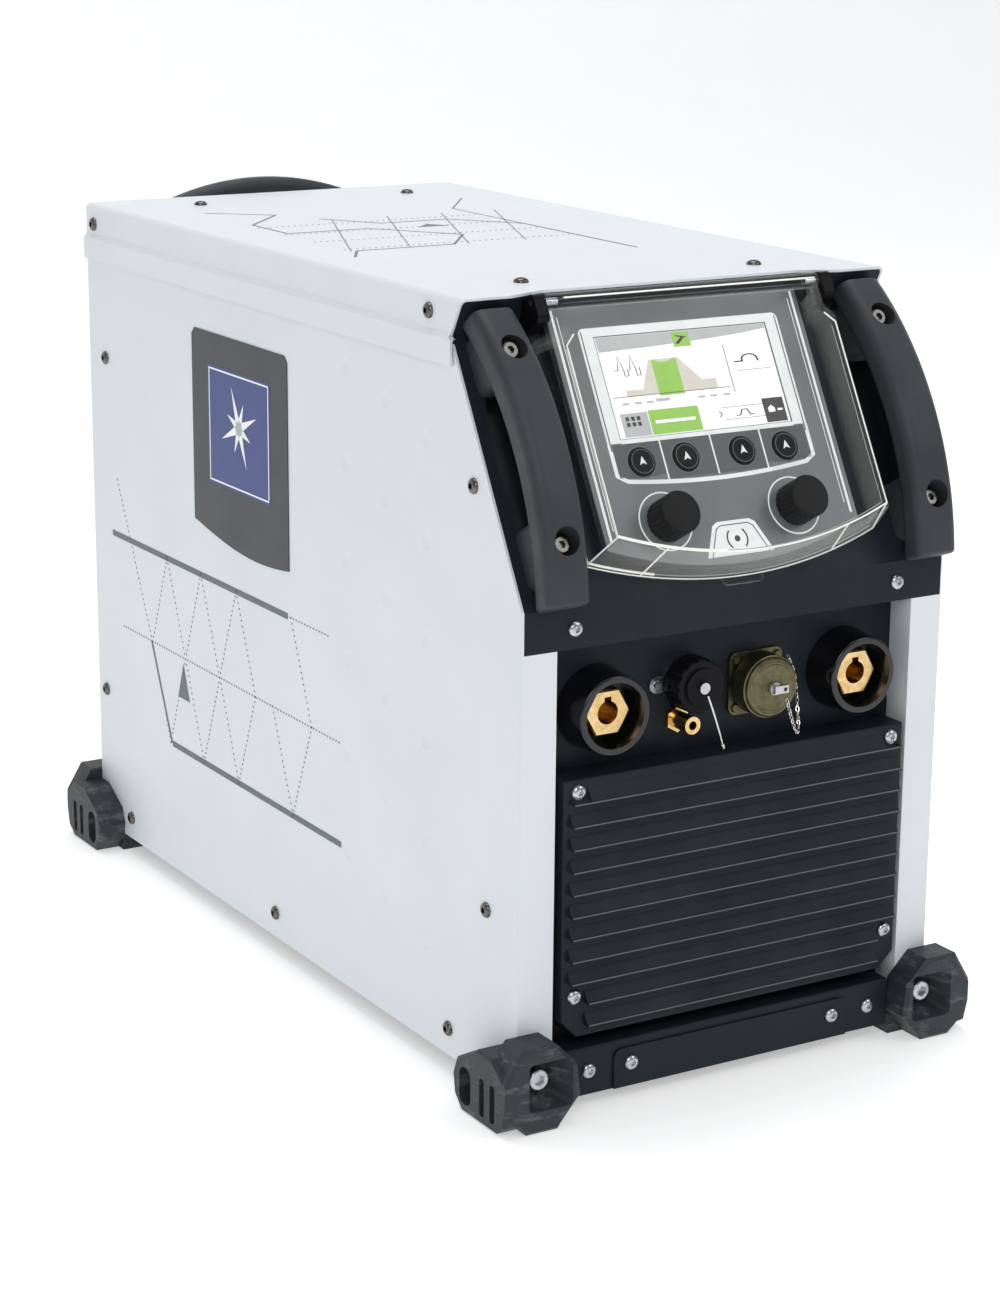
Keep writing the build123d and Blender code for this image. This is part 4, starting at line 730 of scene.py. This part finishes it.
def knurled_cap():
    """Olive cap with a knurled skirt and a stepped face."""
    x, z = REMOTE
    radius, depth, wall = 0.018, 0.015, 0.0145
    skirt_low, skirt_high, rows = 0.0035, 0.0135, 10
    profile = [(0, 0.0026), (wall, 0.0026), (wall, depth), (radius - 0.0008, depth),
               (radius - 0.0002, depth - 0.0006)]
    first = len(profile)
    for row in range(rows + 1):
        profile.append((radius - 0.0003, skirt_high + (skirt_low - skirt_high) * row / rows))
    last = len(profile)
    profile += [(radius - 0.0010, skirt_low - 0.0004), (radius - 0.0012, 0.0016), (radius - 0.0020, 0.0006),
                (radius - 0.0032, 0.0003), (radius - 0.0036, 0.0007), (radius - 0.0046, 0.0007),
                (radius - 0.0050, 0.0003), (radius - 0.0110, 0.0003), (radius - 0.0113, 0.0), (0, 0.0)]

    def diamonds(angle, index):
        if first <= index < last:
            return 1.0 + 0.012 * (cos(72 * angle + (index - first) * pi) + 1) / 2
        return 1.0

    mesh = turned("remote_cap_knurled", profile, 144, diamonds)
    smooth(mesh, 25)
    mesh.transform(Matrix.Translation(at(x, REMOTE_FACE, z)) @ Matrix.Rotation(-pi / 2, 4, "X"))
    cap = new_object("remote_cap_knurled", mesh, OLIVE)
    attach(cap, "remote_cap")
    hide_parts("remote_cap")


# ---- printed console

def console_print():
    def plate(x, s, o):
        return on_console(x, s, PLATE_TOP + o)
    low_edge = bow(64.5, 63.0, 58.7)
    frame_shapes = [[(-66, 145.2), (66, 145.2), (66, 147.8), (64.8, 149.6), (63, 150.3), (-63, 150.3),
                     (-64.8, 149.6), (-66, 147.8)],
                    rectangle(-66, -57.2, 84, 145.2), rectangle(57.2, 66, 84, 145.2),
                    rectangle(-57.2, 57.2, 83.4, 85.8),
                    stroke([(-65, 84)] + [(-65, 66)] + low_edge[1:-1] + [(65, 66)] + [(65, 84)], 2.4)]
    frame_shapes += [rectangle(x - 0.5, x + 0.5, 61, 83.4) for x in (-33, 0, 33)]
    printed("display_frame_print", frame_shapes, plate, PALE_INK_PAINTED_GLOW)
    thin = [stroke([(side * 64.3, 148.6), (side * 64.3, 80)], 0.6) for side in (-1, 1)]
    printed("display_frame_line", thin, plate, DARK_INK, low=INK, high=2 * INK)
    fields = []
    lefts, rights, lows = (-63.6, -32.4, 0.6, 33.6), (-33.6, -0.6, 32.4, 63.6), (64.4, 61.4, 61.4, 64.4)
    for x, x0, x1, s0 in zip(BUTTON_X, lefts, rights, lows):
        fields += holed(x0, x1, s0, 83.3, x, BUTTON_S, 9.2)
    printed("button_field_print", fields, plate, FIELD_INK)
    side_lines = []
    for side in (-1, 1):
        side_lines.append(stroke([(side * 79.4, 162), (side * 79.4, 30)], 1.6))
        side_lines.append(stroke([(side * 76.6, 158), (side * 76.6, 36)], 0.5))
    rings = []
    for x in (-KNOB_X, KNOB_X):
        rings += ring(x, KNOB_S, 16.8, 0.9, 32)
    printed("console_line_print", side_lines + rings, plate, PALE_INK_PAINTED_GLOW)
    badge = [(-22, 14.5), (-14, 32), (-10.5, 34), (10.5, 34), (14, 32), (22, 14.5)]
    inner = [(x * 0.86, 14.8 + (s - 14.8) * 0.88) for x, s in badge]
    printed("badge_edge_print", [badge], plate, PALE_INK_PAINTED_GLOW)
    printed("badge_line_print", [stroke(inner[::-1], 0.5)], plate, DARK_INK, low=INK, high=2 * INK)
    arcs = [stroke(arc(0, 23.5, 6.5, start, 1.7, 12), 0.9) for start in (2.3, -0.85)]
    printed("badge_mark_print", arcs + [circle(0, 23.5, 1.8)], plate, DARK_INK, low=INK, high=2 * INK)
    for number, x in enumerate(BUTTON_X, start=1):
        def cap(u, v, o, centre=x):
            return on_console(centre + u, BUTTON_S + v, BUTTON_TOP + o)
        mark = [(0, 3.0), (-2.2, -2.0), (0, -0.9), (2.2, -2.0)]
        printed(f"button_{number}_mark", [mark], cap, PALE_INK_PAINTED_GLOW, body=f"button_{number}")
        printed(f"button_{number}_ring", ring(0, 0, 6.9, 0.35, 20), cap, GREY_INK, body=f"button_{number}")


def display_picture():
    """A generic screen: bars, a stepped pulse shape, a curve and blocks."""
    printed("screen_field", [rectangle(0.005, 0.995, 0.005, 0.995)], on_glass, LIT_WHITE, high=0.05)
    low, high = 0.05, 0.09
    bar = [(0.005, 0.995), (0.005, 0.85), (0.3, 0.865), (0.6, 0.89), (0.85, 0.92), (0.995, 0.95),
           (0.995, 0.995)]
    icon = [rectangle(0.055 + 0.032 * column, 0.075 + 0.032 * column, 0.11 + 0.055 * row,
                      0.15 + 0.055 * row)
            for column in range(3) for row in range(2)]
    printed("screen_grey", [bar, rectangle(0.03, 0.185, 0.01, 0.24)], on_glass, LIT_GREY, low=low, high=high)
    beige = [(0.10, 0.40), (0.10, 0.46), (0.20, 0.46), (0.27, 0.74), (0.44, 0.74), (0.55, 0.50), (0.63, 0.50),
             (0.63, 0.40)]
    printed("screen_beige", [beige], on_glass, LIT_BEIGE, low=low, high=high)
    green = ([(0.285, 0.38), (0.285, 0.73)] + arc(0.355, 0.76, 0.055, pi * 1.15, pi * 0.7, 10)
             + [(0.43, 0.73), (0.43, 0.38)])
    printed("screen_green", [green, rectangle(0.19, 0.48, 0.01, 0.25), rectangle(0.44, 0.54, 0.84, 0.985)],
            on_glass, LIT_GREEN, low=high, high=high + 0.03)
    pulses = [(0.06, 0.66), (0.085, 0.66), (0.10, 0.80), (0.118, 0.66), (0.118, 0.60), (0.14, 0.60), (0.14, 0.66),
              (0.155, 0.66), (0.17, 0.80), (0.188, 0.66), (0.188, 0.60), (0.21, 0.60), (0.21, 0.68)]
    thin = [stroke(pulses, 0.005), stroke([(0.02, 0.40), (0.70, 0.40)], 0.006)]
    thin += [stroke([start, end], 0.004) for start, end in
             [((0.72, 0.82), (0.72, 0.34)), ((0.77, 0.55), (0.97, 0.55)), ((0.62, 0.20), (0.86, 0.20)),
              ((0.62, 0.08), (0.86, 0.08))]]
    hump = [(0.76, 0.64), (0.81, 0.64)] + arc(0.855, 0.66, 0.045, pi, -pi, 12) + [(0.905, 0.63)]
    small = [stroke([(0.69, 0.11), (0.715, 0.11), (0.73, 0.165), (0.76, 0.165), (0.775, 0.11), (0.80, 0.11)],
                    0.008),
             stroke([(0.595, 0.17), (0.61, 0.14), (0.595, 0.11)], 0.006),
             stroke([(0.885, 0.17), (0.87, 0.14), (0.885, 0.11)], 0.006)]
    torch = [stroke([(0.46, 0.95), (0.52, 0.93)], 0.012), stroke([(0.46, 0.87), (0.50, 0.93)], 0.02)]
    printed("screen_lines", thin + [stroke(hump, 0.012)] + small + torch + icon, on_glass, LIT_DARK,
            low=high + 0.03, high=high + 0.06)
    bars = [stroke([(0.255, 0.34), (0.335, 0.34)], 0.03)]
    bars += [stroke([(start, 0.33), (start + 0.04, 0.33)], 0.022)
             for start in (0.06, 0.13, 0.20, 0.50, 0.57, 0.65)]
    printed("screen_value_bars", bars, on_glass, LIT_GREY, low=high, high=high + 0.03)
    printed("screen_dark_block", [rectangle(0.86, 0.985, 0.01, 0.25)], on_glass, LIT_DARK, low=high,
            high=high + 0.03)
    house = [(0.885, 0.11), (0.885, 0.15), (0.905, 0.18), (0.925, 0.15), (0.925, 0.11)]
    printed("screen_block_marks", [house, stroke([(0.94, 0.13), (0.97, 0.13)], 0.02),
                                   stroke([(0.22, 0.13), (0.45, 0.13)], 0.03)],
            on_glass, LIT_WHITE, low=high + 0.03, high=high + 0.06)


# ---- painted highlights along the edges of the clear cover

COVER_HALF = 96.0
COVER_LOW = (20.0, 3.5)
COVER_WAIST_S = 148.0
COVER_NECK_HALF = 90.0
COVER_TOP_S = 161.4
COVER_FOOT = 1.1
COVER_FRONT = 28.3
COVER_WALL = 2.4
COVER_DRAFT = tan(radians(14))


def cover_run(o, inset):
    """The cover's edge at a height over the console, from its top left round to its top right."""
    inset += (o - 0.6) * COVER_DRAFT
    half, neck = COVER_HALF - inset, COVER_NECK_HALF - inset
    low = bow(half, COVER_LOW[0] + inset, COVER_LOW[1] + inset)
    waist = COVER_WAIST_S - inset
    return ([(-neck, COVER_TOP_S, o), (-neck, waist, o), (-half, waist - 6, o)] + [(x, s, o) for x, s in low]
            + [(half, waist - 6, o), (neck, waist, o), (neck, COVER_TOP_S, o)])


def edge_lines(name, runs, radius, finish, place=on_console, body="cover"):
    """Thin round lines along an edge, closed at their ends."""
    curve = bpy.data.curves.new(name, "CURVE")
    curve.dimensions = "3D"
    curve.bevel_depth = radius / 1000
    curve.bevel_resolution = 2
    curve.use_fill_caps = True
    for run in runs:
        spline = curve.splines.new("POLY")
        spline.points.add(len(run) - 1)
        for point, spot in zip(spline.points, run):
            point.co = (*place(*spot), 1)
    holder = bpy.data.objects.new(name + "_curve", curve)
    bpy.context.scene.collection.objects.link(holder)
    bpy.context.view_layer.update()
    mesh = bpy.data.meshes.new_from_object(holder.evaluated_get(bpy.context.evaluated_depsgraph_get()))
    bpy.data.objects.remove(holder)
    smooth(mesh)
    piece = new_object(name, mesh, finish)
    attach(piece, body)


# Pale glowing lines along the cover's edges, ribs and inner edges: painted highlights of the clear plastic seen
# edge on.
def cover_edge_highlights():
    foot, front = cover_run(COVER_FOOT, 0.5), cover_run(COVER_FRONT, 0.5)
    inner_foot = cover_run(COVER_FOOT, COVER_WALL - 0.3)
    inner_front = cover_run(COVER_FRONT - COVER_WALL, COVER_WALL)
    ribs = [[foot[n], front[n]] for n in (3, 7, -8, -4)]
    top = [front[0], front[-1]]
    edge_lines("cover_edge_front", [front[1:-1], top] + ribs, 0.48, CLEAR_EDGE_HIGHLIGHT)
    edge_lines("cover_edge_glow", [inner_front[2:13], inner_foot[2:9]], 0.75, CLEAR_EDGE_HIGHLIGHT)
    edge_lines("cover_edge_foot", [foot[3:-3]], 0.36, CLEAR_EDGE_HIGHLIGHT)
    edge_lines("cover_edge_inner", [inner_foot[3:-3], inner_front[2:-2]], 0.3, CLEAR_EDGE_DIM_HIGHLIGHT)


def louvre_lip_highlights():
    """A thin pale line along each louvre's rolled lip: a painted highlight where the lip would catch the light.
    """
    lip_y, first, pitch, count, short_rows = -7.45, 38.45, 12.8, 11, 2
    runs = []
    for row in range(count):
        half = 99.0 if row < short_rows else 110.0
        runs.append([(-half, lip_y, first + row * pitch), (half, lip_y, first + row * pitch)])
    edge_lines("louvre_lip_lines", runs, 0.36, LIP_PAINTED_HIGHLIGHT, at, "root")


# ---- side plates and printed patterns

def side_plate(name, place):
    """Dark film plate with an arched lower edge and a plain picture of a spark."""
    low_edge = [(267 + 131 * t, 248 - 11 * sin(pi * (0.25 + 0.75 * t)))
                for t in [step / 20 for step in range(21)]]
    border = low_edge + [(398, 366), (394, 370), (271, 370), (267, 366)]
    printed(name + "_border", [border], place, BORDER_INK, high=0.6)
    printed(name + "_field", [rectangle(290, 375, 276, 350)], place, BLUE_INK, low=0.6, high=0.7)
    rays = []
    for turn in range(8):
        angle = pi / 8 + turn * pi / 4
        reach = 26 if turn % 2 else 17
        side = Vector((-sin(angle), cos(angle))) * 3.2
        tip = (332 + reach * cos(angle), 316 + reach * sin(angle))
        rays.append([(332 + side.x, 316 + side.y), tip, (332 - side.x, 316 - side.y)])
    printed(name + "_spark", rays, place, PALE_INK_PAINTED_GLOW, low=0.7, high=0.8)
    printed(name + "_edge", [stroke(rectangle(292, 373, 278, 348) + [(292, 279)], 1.0)], place, PALE_INK_PAINTED_GLOW,
            low=0.7, high=0.8)


def side_lines(name, place, tree):
    """Two heavy lines, a slanted one, a small triangle and a dotted lattice."""
    top_z, low_z, rear = 212.0, 87.0, 530.0
    heavy = [stroke([(rear, top_z), (rear - 260, top_z)], 4.0), stroke([(440, low_z), (203, low_z)], 4.0),
             stroke([(470, 150), (441, low_z)], 2.6), [(430, 122), (412, 122), (421, 146)]]
    printed(name + "_heavy_lines", heavy, place, GREY_INK)
    knots, edges = [], []

    def line(a, b):
        knots.extend([place(*a, INK), place(*b, INK)])
        edges.append((len(knots) - 2, len(knots) - 1))

    middle = 150.0
    line((515, middle), (205, middle))
    line((270, top_z), (218, top_z))
    for y in (443, 392, 341):
        line((y, top_z), (y + 25.5, middle))
        line((y, top_z), (y - 25.5, middle))
        line((y - 25.5, middle), (y, low_z))
        line((y + 25.5, middle), (y, low_z))
    line((520, 250), (469, middle))
    line((266, top_z), (240, middle))
    line((240, middle), (266, low_z))
    line((292, middle), (266, low_z))
    mesh = bpy.data.meshes.new(name + "_dots")
    mesh.from_pydata(knots, edges, [])
    piece = new_object(name + "_dots", mesh, GREY_INK)
    dot = turned("dot_pattern", [(0, -0.0001), (0.00065, -0.0001), (0.00065, 0.00005), (0, 0.00005)], 8)
    dot.transform(Matrix.Rotation(pi / 2, 4, "Y"))
    pattern = new_object("dot_pattern", dot, GREY_INK)
    grown(piece, tree, {"Pattern": pattern, "Step": 0.0036, "Finish": GREY_INK})
    bpy.data.objects.remove(pattern)
    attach(piece, "root")


def top_lines(tree):
    """The cover's printed pattern: stepped lines over a dotted lattice, and one small triangle."""
    thick = [stroke([(60, 200), (60, 330), (28, 372), (-20, 372), (-44, 410)], 1.8),
             stroke([(-96, 470), (-60, 440), (-96, 400), (-96, 352), (-40, 352), (-2, 300), (-30, 262),
                     (-96, 262), (-110, 238)], 1.8),
             stroke([(96, 470), (60, 420), (60, 330)], 1.2), [(4, 356), (-8, 344), (12, 342)]]
    printed("top_line_print", thick, on_top, GREY_INK)
    knots, edges = [], []
    for row in range(4):
        y = 270 + 38 * row
        knots += [on_top(-100, y, INK), on_top(60, y, INK)]
        edges.append((len(knots) - 2, len(knots) - 1))
    for column in range(4):
        x = -100 + 40 * column
        knots += [on_top(x, 262, INK), on_top(x + 60, 400, INK)]
        edges.append((len(knots) - 2, len(knots) - 1))
    mesh = bpy.data.meshes.new("top_dots")
    mesh.from_pydata(knots, edges, [])
    piece = new_object("top_dots", mesh, GREY_INK)
    dot = turned("top_dot_pattern", [(0, -0.0001), (0.00065, -0.0001), (0.00065, 0.00005), (0, 0.00005)], 8)
    pattern = new_object("top_dot_pattern", dot, GREY_INK)
    grown(piece, tree, {"Pattern": pattern, "Step": 0.0042, "Finish": GREY_INK})
    bpy.data.objects.remove(pattern)
    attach(piece, "root")


# ---- putting it together

camera()
chain()
lanyard()
studio()
finish_nodes()
fasten = fasten_tree()
dots = dots_tree()
screws(fasten)
knurled_cap()
console_print()
display_picture()
cover_edge_highlights()
louvre_lip_highlights()
for side_name, side_place in (("left", on_left), ("right", on_right)):
    side_plate(f"{side_name}_plate", side_place)
    side_lines(f"{side_name}_side", side_place, dots)
top_lines(dots)
